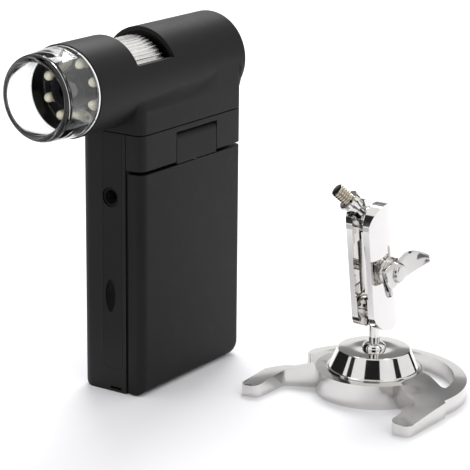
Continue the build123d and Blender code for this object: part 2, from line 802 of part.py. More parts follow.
def base_casting():
    """Cast base: hub, two feet and a ring behind, its top falling from the hub to the feet."""
    ring = Pos(-ring_shift, 0) * Circle(ring_r)
    ring &= Pos(reach_r - foot_root_x, 0) * Rectangle(2 * reach_r, 2 * reach_r)
    side = foot()
    body = extrude(ring, hub_height) + bar_z(hub_r, 0, 0, 0, hub_height) + side + mirror(side, Plane.XZ)
    tips = [e for e in body.edges().filter_by(Axis.Z) if e.center().X < -foot_tip_x + rim_fillet]
    body = fillet(tips, foot_tip_r)
    slot = Circle(ring_bore_r) - Circle(hub_rear_r)
    upper = [(slot_inner_x, slot_inner_y), (slot_outer_x, slot_outer_y), (slot_outer_x, reach_r),
             (reach_r, reach_r)]
    lower = [(x, -y) for x, y in reversed(upper)]
    slot &= make_face(Polyline(*(lower + upper)[::-1], close=True))
    gap = extrude(slot, hub_height + overrun)
    gap = fillet([e for e in gap.edges().filter_by(Axis.Z)], slot_end_r)
    body -= Pos(0, 0, -overrun / 2) * gap
    crown = make_face(Polyline((0, 0, 0), (0, 0, hub_height), (slope_start_r, 0, hub_height),
                               (slope_mid_r, 0, ring_top_z), (slope_ring_r, 0, ring_top_z - ring_slope_drop),
                               (slope_foot_r, 0, foot_tip_z), (reach_r, 0, foot_tip_z), (reach_r, 0, 0),
                               close=True))
    body &= revolve(crown, Axis.Z)
    body -= bar_z(under_bore_r, 0, 0, -overrun, under_depth) - bar_z(under_post_r, 0, 0, -overrun, under_depth)
    body -= bar_z(nut_r + nut_way_gap, 0, 0, -overrun, nut_lift + nut_height)
    body -= bar_z(rod_r + rod_gap, 0, 0, -overrun, hub_height + overrun)
    return on_stand(body)


def base_dome():
    """Cone-sided cap on the hub, flat on top, with the rod through its middle."""
    top_z = hub_height + dome_height
    shell = make_face(Polyline(
        (rod_r + rod_gap, 0, hub_height), (dome_lip_r, 0, hub_height),
        (dome_lip_r, 0, hub_height + dome_lip_height), (dome_root_r, 0, hub_height + dome_lip_height),
        (dome_top_r, 0, top_z), (rod_r + rod_gap, 0, top_z), close=True))
    dome = revolve(shell, Axis.Z)
    hollow = make_face(Polyline(
        (under_post_r, 0, hub_height), (dome_root_r - dome_wall, 0, hub_height),
        (dome_top_r - dome_wall, 0, top_z - dome_wall), (under_post_r, 0, top_z - dome_wall), close=True))
    dome -= revolve(hollow, Axis.Z)
    rim = [e for e in dome.edges().group_by(Axis.Z)[-1] if e.radius > rod_r * 2]
    return on_stand(fillet(rim, dome_fillet))


def ball_rod():
    """Upright rod with a ball on top, turning in the base."""
    rod = bar_z(rod_r, 0, 0, nut_lift, lower_ball_z)
    return on_stand(rod + Pos(0, 0, lower_ball_z) * Sphere(ball_r))


def rod_bead():
    """Rounded bead on the rod, resting on the cap."""
    seat_z = hub_height + dome_height
    arc = make_face(Polyline((0, 0, 0), (bead_r, 0, 0)) + ThreePointArc(
        (bead_r, 0, 0), (bead_r * math.cos(math.pi / 4), 0, bead_height * math.sin(math.pi / 4)),
        (0, 0, bead_height)) + Line((0, 0, bead_height), (0, 0, 0)))
    bead = revolve(arc, Axis.Z) - bar_z(rod_r, 0, 0, -overrun, bead_height + overrun)
    return on_stand(Pos(0, 0, seat_z) * bead)


def rod_nut():
    """Round nut under the hub that keeps the rod in."""
    nut = bar_z(nut_r, 0, 0, nut_lift, nut_lift + nut_height)
    return on_stand(nut - bar_z(rod_r, 0, 0, 0, hub_height))


def stadium(half_width, low, high):
    """A round-ended strip in the X-Z plane, as a sketch."""
    length = high - low
    return Pos(0, (low + high) / 2) * Rot(0, 0, 90) * SlotOverall(length, 2 * half_width)


def clamp_half(side):
    """One clamp plate: crowned outside, with a ball cup in a thick pad at each end."""
    low = -clamp_low_end
    high = ball_spacing + clamp_high_end
    wide = clamp_half_width + overrun
    blank = extrude(Plane.XZ * stadium(clamp_half_width, low, high), clamp_crown_y, both=True)
    sag = clamp_crown_y - clamp_edge_y - clamp_edge_thickness
    crown_r = (clamp_half_width ** 2 + sag ** 2) / (2 * sag)
    plate = blank & bar_z(crown_r, 0, side * (clamp_crown_y - crown_r), low - overrun, high + overrun)
    plate -= between(wide, side * pad_face_y, -side * clamp_crown_y, low - overrun, high + overrun)
    plate -= between(wide, side * clamp_edge_y, 0, pad_reach, ball_spacing - pad_reach)
    for z in (0, ball_spacing):
        plate -= Pos(0, 0, z) * Sphere(ball_r + ball_gap)
    return plate


def between(half_width, y0, y1, z0, z1):
    """A box centred on X, between two values of y in either order."""
    return block(-half_width, half_width, min(y0, y1), max(y0, y1), z0, z1)


def stud_relief():
    """The space that the upper stud sweeps when it swings, cut out of the clamp's upper end."""
    s0 = ball_r - relief_gap
    w0 = stud_stem_r + relief_gap
    w1 = stud_block_r + relief_gap
    w2 = lock_r + relief_gap
    s1 = stud_block_start - relief_gap
    s2 = lock_start - relief_gap
    s3 = stud_end + overrun
    half = [(s0, w0), (s1, w0), (s1, w1), (s2, w1), (s2, w2), (s3, w2)]
    both = half + [(x, -y) for x, y in reversed(half)]
    lifted = Rot(0, 0, stud_lift) * make_face(Polyline(*both, close=True))
    space = Rot(0, -90 - stud_swing - stud_tilt_range, 0) * revolve(
        lifted, Axis.Y, revolution_arc=2 * stud_tilt_range)
    envelope = revolve(make_face(Polyline((s0, 0), *half, (s3, 0), close=True)), Axis.X)
    for side in (-1, 1):
        angle = -90 - stud_swing - side * stud_tilt_range
        space += Rot(0, angle, 0) * Rot(0, 0, stud_lift) * envelope
    return Pos(0, 0, ball_spacing) * space


def clamp_parts():
    """Both clamp plates and the screw that draws them together."""
    near = clamp_half(-1)
    far = clamp_half(1)
    hole = bar_y(clamp_screw_r + clamp_screw_gap, 0, -2 * clamp_crown_y, 2 * clamp_crown_y, knob_z)
    near += bar_y(knob_seat_r, 0, -knob_seat_y, -clamp_edge_y, knob_z)
    near -= hole
    far += bar_z(rail_r, 0, clamp_edge_y, pad_reach - rail_low_reach, ball_spacing - pad_reach + rail_top_reach)
    far -= hole
    relief = stud_relief()
    near -= relief
    far -= relief
    screw_y = -knob_seat_y - washer_thickness - wing_hub_height / 2
    screw = bar_y(clamp_screw_r, 0, screw_y, clamp_crown_y, knob_z)
    cap = bar_y(screw_cap_r, 0, clamp_crown_y, clamp_crown_y + screw_cap_height, knob_z)
    cap = fillet(cap.edges().group_by(Axis.Y)[-1], screw_cap_height / 2)
    washer = bar_y(washer_r, 0, -knob_seat_y - washer_thickness, -knob_seat_y, knob_z)
    washer -= bar_y(clamp_screw_r + bore_gap, 0, -knob_seat_y - 2 * washer_thickness, 0, knob_z)
    return on_clamp(near), on_clamp(far), on_clamp(screw + cap), on_clamp(washer)


def wing():
    """One wing of the knob: a leaf that leaves the hub flat and curls outwards, lofted."""
    sections = []
    shares = zip(wing_reach_shares, wing_rise_shares, wing_width_shares, wing_thickness_shares, wing_pitches)
    for reach, rise, width, thick, pitch in shares:
        tilt = math.radians(pitch)
        place = Plane(origin=(reach * wing_reach, 0, rise * wing_rise), x_dir=(0, 1, 0),
                      z_dir=(math.cos(tilt), 0, math.sin(tilt)))
        sections.append(place * Ellipse(width * wing_width / 2, thick * wing_thickness / 2))
    return loft(sections)


def wing_knob():
    """Two-winged knob on the clamp screw: a round skirt, a domed hub and a pair of curled leaves."""
    hub = make_face(Polyline((0, 0, 0), (wing_skirt_r, 0, 0), (wing_skirt_r, 0, wing_skirt_height),
                             (wing_hub_r, 0, wing_skirt_height), (wing_hub_tip_r, 0, wing_hub_height),
                             (0, 0, wing_hub_height), close=True))
    knob = revolve(hub, Axis.Z)
    knob = fillet(knob.edges().group_by(Axis.Z)[-1], wing_hub_dome)
    for i in range(wing_count):
        knob += Rot(0, 0, wing_phase + 360 * i / wing_count) * wing()
    knob -= bar_z(clamp_screw_r + bore_gap, 0, 0, -overrun, wing_hub_height / 2)
    seat = Pos(0, -knob_seat_y - washer_thickness, knob_z) * Rot(90, 0, 0)
    return on_clamp(seat * knob)


def on_stud(shape):
    """Move a shape made along Z from the upper ball's centre onto the stud's axis."""
    aim = Rot(0, -stud_swing, 0) * Rot(-stud_lift, 0, 0)
    return on_clamp(Pos(0, 0, ball_spacing) * aim * shape)


def stud_parts():
    """Upper ball with its stem and threaded end, and the lock ring on the thread."""
    lock_end = lock_start + lock_thickness + lock_rim_thickness
    stud = Sphere(ball_r) + bar_z(stud_stem_r, 0, 0, 0, stud_block_start)
    stud += bar_z(stud_block_r, 0, 0, stud_block_start, lock_start)
    thread = bar_z(thread_r, 0, 0, lock_end + thread_lead, stud_end)
    thread = chamfer(thread.edges().group_by(Axis.Z)[-1], thread_chamfer)
    thread += bar_z(thread_core_r, 0, 0, lock_start, lock_end + thread_lead)
    ring = bar_z(lock_rim_r, 0, 0, lock_start, lock_start + lock_rim_thickness)
    points = []
    for i in range(2 * lock_knurl_count):
        r = lock_r - lock_knurl_depth * (i % 2)
        a = math.pi * i / lock_knurl_count
        points.append((r * math.cos(a), r * math.sin(a)))
    knurl = extrude(make_face(Polyline(*points, close=True)), lock_thickness)
    ring += Pos(0, 0, lock_end - lock_thickness) * knurl
    ring -= bar_z(thread_core_r + lock_gap, 0, 0, lock_start - overrun, lock_end + overrun)
    return on_stud(stud), on_stud(thread), on_stud(ring)


def build_all():
    """Every node by name."""
    battery, door = battery_parts()
    sensor_board, sensor = sensor_parts()
    cover, frame, screen = display_parts()
    clamp_near, clamp_far, clamp_screw, washer = clamp_parts()
    stud, thread, lock_ring = stud_parts()
    nodes = {
        "rear_shell": rear_shell(), "front_shell": front_shell(), "head_housing": head_housing(),
        "side_inlay": side_inlay(), "tripod_socket": tripod_socket(), "card_socket": card_socket(),
        "usb_socket": usb_socket(), "main_board": main_board(), "battery": battery,
        "battery_door": door, "housing_screws": housing_screws(),
        "hinge_arm": hinge_arm(), "hinge_pin": hinge_pin(), "twist_pin": twist_pin(),
        "display_cover": cover, "display_frame": frame, "screen": screen,
        "hood": hood(), "light_board": light_board(), "lights": lights(),
        "lens_barrel": lens_barrel(), "front_lens": front_lens(), "optics_sleeve": optics_sleeve(),
        "focus_wheel": focus_wheel(), "sensor_board": sensor_board, "image_sensor": sensor,
        "base_casting": base_casting(), "base_dome": base_dome(), "ball_rod": ball_rod(),
        "rod_bead": rod_bead(), "rod_nut": rod_nut(), "clamp_near": clamp_near,
        "clamp_far": clamp_far, "clamp_screw": clamp_screw, "clamp_washer": washer,
        "wing_knob": wing_knob(), "ball_stud": stud, "threaded_stud": thread, "lock_ring": lock_ring,
    }
    names = ("key_ok", "key_up", "key_down", "key_right", "key_left", "key_capture")
    for name, (x, z) in zip(names, key_places()):
        nodes[name] = key(x, z)
    return nodes


os.makedirs("parts", exist_ok=True)
for node, solid in build_all().items():
    export_step(solid, f"parts/{node}.step")
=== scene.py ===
import json
import math

import bmesh
import bpy
import numpy as np
from bpy.props import FloatProperty, FloatVectorProperty, PointerProperty
from mathutils import Matrix, Vector

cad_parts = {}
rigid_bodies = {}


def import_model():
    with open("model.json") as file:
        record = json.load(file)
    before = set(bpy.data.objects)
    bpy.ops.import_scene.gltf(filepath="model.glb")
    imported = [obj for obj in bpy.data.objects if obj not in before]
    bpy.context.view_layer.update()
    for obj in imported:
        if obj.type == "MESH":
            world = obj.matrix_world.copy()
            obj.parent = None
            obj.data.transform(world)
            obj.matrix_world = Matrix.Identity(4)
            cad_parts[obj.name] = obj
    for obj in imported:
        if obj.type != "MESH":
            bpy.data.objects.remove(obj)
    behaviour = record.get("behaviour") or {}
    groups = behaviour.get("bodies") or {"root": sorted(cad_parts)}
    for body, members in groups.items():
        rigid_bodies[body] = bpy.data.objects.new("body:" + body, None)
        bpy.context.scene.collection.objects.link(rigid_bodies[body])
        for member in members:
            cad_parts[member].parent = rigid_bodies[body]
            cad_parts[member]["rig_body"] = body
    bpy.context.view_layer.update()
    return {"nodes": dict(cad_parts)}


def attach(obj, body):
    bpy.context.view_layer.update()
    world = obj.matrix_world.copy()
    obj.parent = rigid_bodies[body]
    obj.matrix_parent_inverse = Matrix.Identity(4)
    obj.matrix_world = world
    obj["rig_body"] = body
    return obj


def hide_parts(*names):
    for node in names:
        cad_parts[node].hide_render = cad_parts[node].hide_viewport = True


bl_info = {
    "name": "Digital microscope with a metal stand",
    "version": (1, 0, 0),
    "blender": (4, 5, 0),
    "location": "3D View > Sidebar > Microscope",
    "description": "Builds the finished looks of a hand-held digital microscope and its stand",
    "category": "Object",
}

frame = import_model()
MM = 0.001


# ---- measures of the object, in millimetres, and directions ----

ALONG = (1.0, 0.0, 0.0)
UPRIGHT = (0.0, 0.0, 1.0)

HEAD = (0.0, 3.54, 144.65)  # a point on the axis of the head's tube
TUBE_RADIUS = 20.85
BODY_HALF_WIDTH = 39.5
BODY_FRONT = -17.5
BODY_CORNER = 4.2  # rounding of the body's front uprights
SADDLE_FOOT = 130.6
SADDLE_TOP = 144.6
SHOULDER_FOOT = 132.4  # height from which the saddle's shoulder falls back at the lens side
SHOULDER_RISE = 12.2
SHOULDER_FALL = 0.11  # how far it falls back, per square millimetre of rise
LEAN = 0.2  # how far the saddle leans back at the far side
LENS_SIDE = -38.0  # where the mix from the one side to the other starts
NARROW_FILLET = 2.6  # the fillet's width at the lens side, and what it gains from there
FILLET_GROWTH = 3.6
HEEL_CENTRE = 10.9  # depth of the centre of the lower rear edge's rounding
HEEL_RADIUS = 6.6

SOCKET = (0.0, 0.15, 92.3)  # a point on the axis of the threaded socket
SOCKET_RADIUS = 3.2
SOCKET_MOUTH = -39.0
SOCKET_END = -31.0
SCOOP_CHORD = -40.5  # where the chord of the card scoop's arc stands
SCOOP_DEPTH_CENTRE = 0.5
SCOOP_HEIGHT = 45.9
SCOOP_HALF_CHORD = 9.8
SCOOP_BOW = 3.0

LIGHT_COUNT = 8
LIGHT_CIRCLE = 12.594
FIRST_LIGHT = math.radians(21.8)
WHEEL_RADIUS = 17.5
WHEEL_RIBS = 48
RIB_POINTS = 14  # points round the wheel for each rib
LENS_BORE = 5.45  # seat of the front lens, with a fine thread before it
LENS_EDGE = 5.4
LENS_CROWN = 0.7

STAND = (32.65, -96.55, 0.0)  # middle of the stand on the table
HUB_FOOT = 26.9
ROD_RADIUS = 2.5
LOWER_BALL = 39.5  # height of the lower ball's centre
LOWER_BALL_RADIUS = 5.5
ROD_FOOT = 1.2
BEAD_HEIGHT = 20.7
UPPER_BALL = (25.613923, -96.328882, 83.945975)
UPPER_BALL_RADIUS = 5.46
STEM_RADIUS = 2.36
COLLAR_TOP = 11.3
STUD = (-0.599428, 0.449561, 0.662254)  # the threaded stud's direction
STUD_RADIUS = 3.16
THREAD_START = 14.4
THREAD_END = 21.4
THREAD_PITCH = 1.27  # 20 turns an inch

# The ring's free end, from the inside out: distance from the stand's middle, and angle in degrees.
RING_END = (
    (34.0, 80.0), (37.2, 81.4), (38.1, 82.3), (39.0, 82.3), (40.1, 81.2), (41.4, 78.4), (42.6, 74.8), (43.5, 71.0),
    (44.2, 67.0), (44.9, 62.0), (47.0, 57.0),
)
FOOT_ANGLE = 113.0  # where the left foot leaves the hub, in degrees
GAP_CORNERS = ((58.0, -44.0), (10.0, -44.0), (12.0, -50.4), (19.0, -57.5))  # outside the ring and along that foot
GAP_HEIGHTS = (-2.0, 14.0)  # well below and above the casting

# Profiles round an axis: distance along it, radius, and the rounding of the corner where it has one.
HOOD = (
    (-86.55, 15.7, 0.5), (-86.55, 18.9, 2.3), (-69.6, 20.18, 0.1), (-69.4, 19.95, 0.05), (-68.9, 19.98, 0.05),
    (-68.7, 20.25, 0.1), (-67.4, 20.35, 0.25), (-67.4, 18.8, 0.1), (-58.95, 18.8, 0.2), (-58.95, 17.3, 0.2),
    (-67.35, 17.3, 0.8),
)
LIGHT = ((-58.9, 0.0), (-58.9, 2.4, 0.15), (-59.9, 2.4, 0.2), (-59.9, 2.12, 0.1), (-65.3, 2.12, 2.1), (-65.3, 0.0))
LENS_BARREL = (
    (-64.9, 7.38, 0.15), (-64.9, 9.0, 0.3), (-26.5, 9.0, 0.3), (-26.5, 4.8, 0.3), (-60.3, 4.8, 0.05),
    (-60.3, LENS_BORE, 0.05), (-63.7, LENS_BORE, 0.1),
)
WHEEL = (
    (-36.6, 12.06, 0.3), (-36.6, 16.9, 0.3), (-36.0, WHEEL_RADIUS, 0.25), (-15.0, WHEEL_RADIUS, 0.25),
    (-14.4, 16.9, 0.3), (-14.4, 12.06, 0.3),
)
DOME = (
    (11.2, 8.5), (11.2, 21.6, 0.15), (12.0, 21.6, 0.35), (12.0, 20.6, 0.15), (20.7, 16.7, 0.9), (20.7, 2.55, 0.15),
    (17.7, 2.55), (17.7, 13.7), (11.2, 17.6),
)

SHARP = 0.6  # faces that meet at more than this angle, in radians, meet at a hard edge
SAME_PLANE = 0.004  # and below this one they are one face
SAME_CORNER = 2e-6  # corners of a CAD mesh that lie closer than this, in metres, are one
SAME_POINT = 1e-7  # and points of a new surface


# ---- sizes and colours a user would change ----

class HousingSettings(bpy.types.PropertyGroup):
    """Finish of the black plastic housing."""

    body_color: FloatVectorProperty(
        name="Body", description="Soft matte plastic of the housing",
        subtype="COLOR", default=(0.0115, 0.0109, 0.0106))
    display_color: FloatVectorProperty(
        name="Display back", description="Matte plastic of the display's back",
        subtype="COLOR", default=(0.0088, 0.0084, 0.0082))
    inlay_color: FloatVectorProperty(
        name="Side inlay", description="Smoother plastic strip in the narrow side",
        subtype="COLOR", default=(0.0082, 0.0079, 0.0077))
    # Painted shade: the card scoop's near-black colour stands for the shade inside the scoop round the card slot.
    scoop_shade_color: FloatVectorProperty(
        name="Card scoop", description="Dark inside of the scoop round the card slot",
        subtype="COLOR", default=(0.0012, 0.0012, 0.0013))
    roughness: FloatProperty(
        name="Roughness", description="Roughness of the housing",
        default=0.52, min=0.0, max=1.0)
    grain_size: FloatProperty(
        name="Grain", description="Size of the moulded grain",
        default=0.0004, min=0.0001, max=0.005, unit="LENGTH")
    edge_round: FloatProperty(
        name="Edge rounding", description="Small rounding of the moulded edges",
        default=0.00018, min=0.0, max=0.001, unit="LENGTH")


class MetalSettings(bpy.types.PropertyGroup):
    """Finish of the metal parts."""

    polished_color: FloatVectorProperty(
        name="Polished", description="Bright plating of the stand",
        subtype="COLOR", default=(0.75, 0.737, 0.718))
    steel_color: FloatVectorProperty(
        name="Steel", description="Plain steel of screws and sockets",
        subtype="COLOR", default=(0.52, 0.51, 0.49))
    wheel_color: FloatVectorProperty(
        name="Focus wheel", description="Satin metal of the focus wheel",
        subtype="COLOR", default=(0.83, 0.82, 0.8))
    thread_color: FloatVectorProperty(
        name="Stud", description="Slightly warm plating of the threaded stud",
        subtype="COLOR", default=(0.56, 0.51, 0.43))
    blackened_color: FloatVectorProperty(
        name="Blackened steel", description="Dark steel of the sockets in the narrow side",
        subtype="COLOR", default=(0.016, 0.0155, 0.015))
    polish: FloatProperty(
        name="Polish", description="Roughness of the polished metal",
        default=0.055, min=0.0, max=1.0)


class OpticsSettings(bpy.types.PropertyGroup):
    """Finish of the lens end."""

    clear_color: FloatVectorProperty(
        name="Clear hood", description="Tint of the clear plastic",
        subtype="COLOR", default=(0.97, 0.975, 0.98))
    barrel_color: FloatVectorProperty(
        name="Barrel", description="Dark anodised lens barrel",
        subtype="COLOR", default=(0.012, 0.012, 0.013))
    board_color: FloatVectorProperty(
        name="Board", description="Solder mask of the boards",
        subtype="COLOR", default=(0.012, 0.075, 0.035))
    lamp_color: FloatVectorProperty(
        name="Lamp", description="Warm white face of the lights",
        subtype="COLOR", default=(0.86, 0.82, 0.62))


class StageSettings(bpy.types.PropertyGroup):
    """Camera, floor and lamps."""

    camera_place: FloatVectorProperty(
        name="Camera place", description="Where the camera stands",
        subtype="TRANSLATION", unit="LENGTH", default=(-0.7281679, -0.5351727, 0.3247567))
    camera_turn: FloatProperty(
        name="Camera turn", description="Compass turn of the camera",
        subtype="ANGLE", default=math.radians(-55.82245))
    camera_rise: FloatProperty(
        name="Camera rise", description="How far the camera looks down",
        subtype="ANGLE", default=math.radians(15.9946))
    camera_roll: FloatProperty(
        name="Camera roll", description="Roll of the camera",
        subtype="ANGLE", default=math.radians(0.59597))
    focal_length: FloatProperty(
        name="Focal length", description="Focal length of the camera",
        default=153.975, min=10.0, max=400.0)
    floor_color: FloatVectorProperty(
        name="Floor", description="Plain pale floor",
        subtype="COLOR", default=(0.95, 0.948, 0.972))
    floor_reach: FloatProperty(
        name="Floor reach", description="How far the floor goes on each side",
        default=3.0, min=0.5, max=20.0, unit="LENGTH")
    sky_level: FloatProperty(
        name="Room light", description="Level of the even room light",
        default=0.88, min=0.0, max=4.0)
    card_reach: FloatProperty(
        name="Card distance", description="How far the reflected cards stand from the object",
        default=0.95, min=0.3, max=3.0, unit="LENGTH")
    key_level: FloatProperty(
        name="Key lamp", description="Level from which the power of both lamps is worked out",
        default=9.0, min=0.0, max=1000.0, unit="POWER")


SETTINGS = {
    "microscope_housing": HousingSettings,
    "microscope_metal": MetalSettings,
    "microscope_optics": OpticsSettings,
    "microscope_stage": StageSettings,
}


# ---- shader writing ----

class Wire:
    """An output socket of a finish. Sums and products of wires add their Math nodes."""

    def __init__(self, finish, socket):
        self.finish = finish
        self.socket = socket

    def math(self, operation, first, second):
        return self.finish.add("ShaderNodeMath", {"operation": operation}, {0: first, 1: second})

    def __add__(self, other):
        return self.math("ADD", self, other)

    __radd__ = __add__

    def __mul__(self, other):
        return self.math("MULTIPLY", self, other)

    __rmul__ = __mul__

    def __sub__(self, other):
        return self.math("SUBTRACT", self, other)

    def __rsub__(self, other):
        return self.math("SUBTRACT", other, self)

    def smooth(self, low, high):
        """0 below low, 1 above high, eased between."""
        limits = {"Value": self, "From Min": low, "From Max": high}
        return self.finish.add("ShaderNodeMapRange", {"interpolation_type": "SMOOTHSTEP"}, limits)


class Finish:
    """One node-based material, with its Principled shader."""

    def __init__(self, name, **constants):
        self.material = bpy.data.materials.new(name)
        self.material.use_nodes = True
        self.tree = self.material.node_tree
        self.shader = self.tree.nodes["Principled BSDF"]
        for socket, value in constants.items():
            self.set(socket.replace("_", " "), value)

    def set(self, socket, value):
        """Gives one socket of the shader a value or a wire."""
        self._feed(self.shader.inputs[socket], value)

    def _feed(self, socket, value):
        if isinstance(value, Wire):
            self.tree.links.new(value.socket, socket)
        elif hasattr(socket.default_value, "__len__"):
            size = len(socket.default_value)
            socket.default_value = (*value, 1.0)[:size] if size == 4 else tuple(value)
        else:
            socket.default_value = value

    def add(self, kind, settings=None, inputs=None, output=0):
        """Adds a node: its settings first, then its sockets' values or wires. Returns one output."""
        node = self.tree.nodes.new(kind)
        for key, value in (settings or {}).items():
            setattr(node, key, value)
        for key, value in (inputs or {}).items():
            self._feed(node.inputs[key], value)
        return Wire(self, node.outputs[output])

    def place(self, scale=(1, 1, 1), turn=(0, 0, 0)):
        """Object coordinates, turned and stretched."""
        here = self.add("ShaderNodeTexCoord", output=3)
        stretch = {"Vector": here, "Rotation": turn, "Scale": [1 / s for s in scale]}
        return self.add("ShaderNodeMapping", {"vector_type": "TEXTURE"}, stretch)

    def noise(self, size, detail=2.0, rough=0.5, **stretch):
        """Soft noise whose blobs are about size metres across."""
        inputs = {"Vector": self.place(**stretch), "Scale": 1 / size, "Detail": detail, "Roughness": rough}
        return self.add("ShaderNodeTexNoise", {}, inputs)

    def mix(self, factor, first, second):
        """A colour between two colours."""
        return self.add("ShaderNodeMix", {"data_type": "RGBA"}, {0: factor, 6: first, 7: second}, output=2)

    def bump(self, height, depth, strength):
        """A bump of the given depth in metres, from a height between 0 and 1."""
        return self.add("ShaderNodeBump", {}, {"Height": height, "Distance": depth, "Strength": strength})


def tinted(color, share):
    """A colour made lighter or darker by a share."""
    return tuple(min(1.0, c * share) for c in color)


def moulded_plastic(name, color, roughness, grain, depth=0.00002):
    """Soft matte plastic: a fine moulded grain, faint cloudiness and a few dull rubbed patches."""
    finish = Finish(name, Specular_IOR_Level=0.18)
    cloud = finish.noise(0.018, detail=3.0, rough=0.6)
    fine = finish.noise(grain, detail=2.0, rough=0.6)
    rubbed = finish.noise(0.009, detail=4.0, rough=0.65).smooth(0.52, 0.7)
    finish.set("Base Color", finish.mix(cloud, tinted(color, 0.86), tinted(color, 1.16)))
    finish.set("Roughness", roughness + (cloud - 0.5) * 0.06 - rubbed * 0.05 + (fine - 0.5) * 0.05)
    finish.set("Normal", finish.bump(fine, depth, strength=0.55))
    return finish.material


def polished_metal(name, color, roughness, wave=0.00001):
    """Bright plated metal: slight casting waviness, hairline marks and a cloudy polish."""
    finish = Finish(name, Metallic=1.0)
    wavy = finish.noise(0.011, detail=1.5, rough=0.4)
    hair = finish.noise(0.0011, detail=3.0, rough=0.7, scale=(1, 9, 1), turn=(0.3, 0.5, 0.9))
    smear = finish.noise(0.006, detail=3.0, rough=0.6)
    finish.set("Base Color", finish.mix(smear, tinted(color, 0.95), tinted(color, 1.03)))
    finish.set("Roughness", roughness + smear * 0.03 + hair.smooth(0.6, 0.8) * 0.05)
    finish.set("Normal", finish.bump(wavy, wave, strength=0.5))
    return finish.material


def satin_metal(name, color, roughness):
    """Turned or stamped metal with a soft sheen, fine lines and dull spots."""
    finish = Finish(name, Metallic=1.0)
    lines = finish.noise(0.00035, detail=2.0, rough=0.6, scale=(1, 1, 12))
    spots = finish.noise(0.0025, detail=3.0, rough=0.6)
    finish.set("Base Color", finish.mix(spots, tinted(color, 0.88), tinted(color, 1.05)))
    finish.set("Roughness", roughness + (spots - 0.5) * 0.12 + (lines - 0.5) * 0.08)
    finish.set("Normal", finish.bump(lines, 0.000006, strength=0.6))
    return finish.material


def clear_plastic(name, color):
    """Clear moulded plastic with the faintest waviness and a few soft handling marks."""
    finish = Finish(name, Transmission_Weight=1.0, IOR=1.46)
    marks = finish.noise(0.004, detail=3.0, rough=0.6)
    finish.set("Base Color", finish.mix(marks, tinted(color, 0.985), color))
    finish.set("Roughness", 0.015 + marks.smooth(0.55, 0.8) * 0.04)
    finish.set("Normal", finish.bump(finish.noise(0.006, detail=1.0), 0.00001, strength=0.3))
    return finish.material


def circuit_board(name, color):
    """Solder mask with lighter copper runs under it."""
    finish = Finish(name, Specular_IOR_Level=0.5)
    cells = finish.add(
        "ShaderNodeTexVoronoi", {"feature": "DISTANCE_TO_EDGE", "distance": "EUCLIDEAN"},
        {"Vector": finish.place(), "Scale": 420.0})
    runs = 1.0 - cells.smooth(0.05, 0.12)
    cloud = finish.noise(0.004)
    finish.set("Base Color", finish.mix(runs, tinted(color, 0.8), tinted(color, 1.7)))
    finish.set("Roughness", 0.34 + (cloud - 0.5) * 0.12)
    finish.set("Normal", finish.bump(runs, 0.00003, strength=0.5))
    return finish.material


def coated_glass(name):
    """Deep coated lens glass: near black with a violet cast towards its edge."""
    finish = Finish(name, Specular_IOR_Level=0.9, Coat_Roughness=0.02)
    cast = finish.add("ShaderNodeLayerWeight", {}, {"Blend": 0.45}, output=1)
    finish.set("Base Color", finish.mix(cast, (0.006, 0.006, 0.012), (0.03, 0.012, 0.05)))
    finish.set("Roughness", 0.03 + finish.noise(0.003).smooth(0.6, 0.9) * 0.03)
    finish.set("Coat Weight", 0.6 + cast * 0.4)
    finish.set("Normal", finish.bump(finish.noise(0.004, detail=1.0), 0.000002, strength=0.2))
    return finish.material


def lamp_resin(name, color):
    """Cream resin of the small lights, faintly cloudy under a thin clear coat."""
    finish = Finish(name, Specular_IOR_Level=0.5, Coat_Roughness=0.08)
    cloud = finish.noise(0.0012)
    finish.set("Base Color", finish.mix(cloud, tinted(color, 0.92), tinted(color, 1.08)))
    finish.set("Roughness", 0.22 + cloud * 0.12)
    finish.set("Coat Weight", 0.5 + cloud * 0.3)
    finish.set("Normal", finish.bump(cloud, 0.00002, strength=0.3))
    return finish.material


def screen_glass(name):
    """Dark glass of the screen that is off, with faint wipe marks."""
    finish = Finish(name, Specular_IOR_Level=0.6)
    wiped = finish.noise(0.008, detail=4.0, rough=0.6, scale=(1, 1, 3), turn=(0, 0.5, 0))
    finish.set("Base Color", finish.mix(wiped, (0.004, 0.0045, 0.006), (0.01, 0.011, 0.014)))
    finish.set("Roughness", 0.05 + wiped.smooth(0.5, 0.8) * 0.09)
    finish.set("Normal", finish.bump(wiped, 0.000003, strength=0.2))
    return finish.material


def wrap_film(name):
    """Plain film round the battery: silver grey with fine creases."""
    finish = Finish(name, Metallic=0.35)
    crease = finish.noise(0.003, detail=5.0, rough=0.7)
    finish.set("Base Color", finish.mix(crease, (0.33, 0.34, 0.36), (0.5, 0.51, 0.53)))
    finish.set("Roughness", 0.3 + crease * 0.2)
    finish.set("Normal", finish.bump(crease, 0.00006, strength=0.6))
    return finish.material


# ---- mesh making ----

def shade(work, sharp):
    """Shades the faces smooth, with a hard edge wherever two of them meet at more than the sharp angle."""
    for face in work.faces:
        face.smooth = True
    for edge in work.edges:
        if edge.calc_face_angle(0.0) > sharp:
            edge.smooth = False


def new_piece(name, mesh):
    """An object of the scene that shows a mesh."""
    piece = bpy.data.objects.new(name, mesh)
    bpy.context.scene.collection.objects.link(piece)
    return piece


def surface(name, points, faces, sharp=SHARP):
    """A new piece from points in millimetres and their faces, with doubles merged and the faces turned outwards."""
    mesh = bpy.data.meshes.new(name)
    mesh.from_pydata((points * MM).tolist(), [], faces)
    work = bmesh.new()
    work.from_mesh(mesh)
    bmesh.ops.remove_doubles(work, verts=work.verts, dist=SAME_POINT)
    bmesh.ops.recalc_face_normals(work, faces=work.faces)
    shade(work, sharp)
    work.to_mesh(mesh)
    work.free()
    return new_piece(name, mesh)


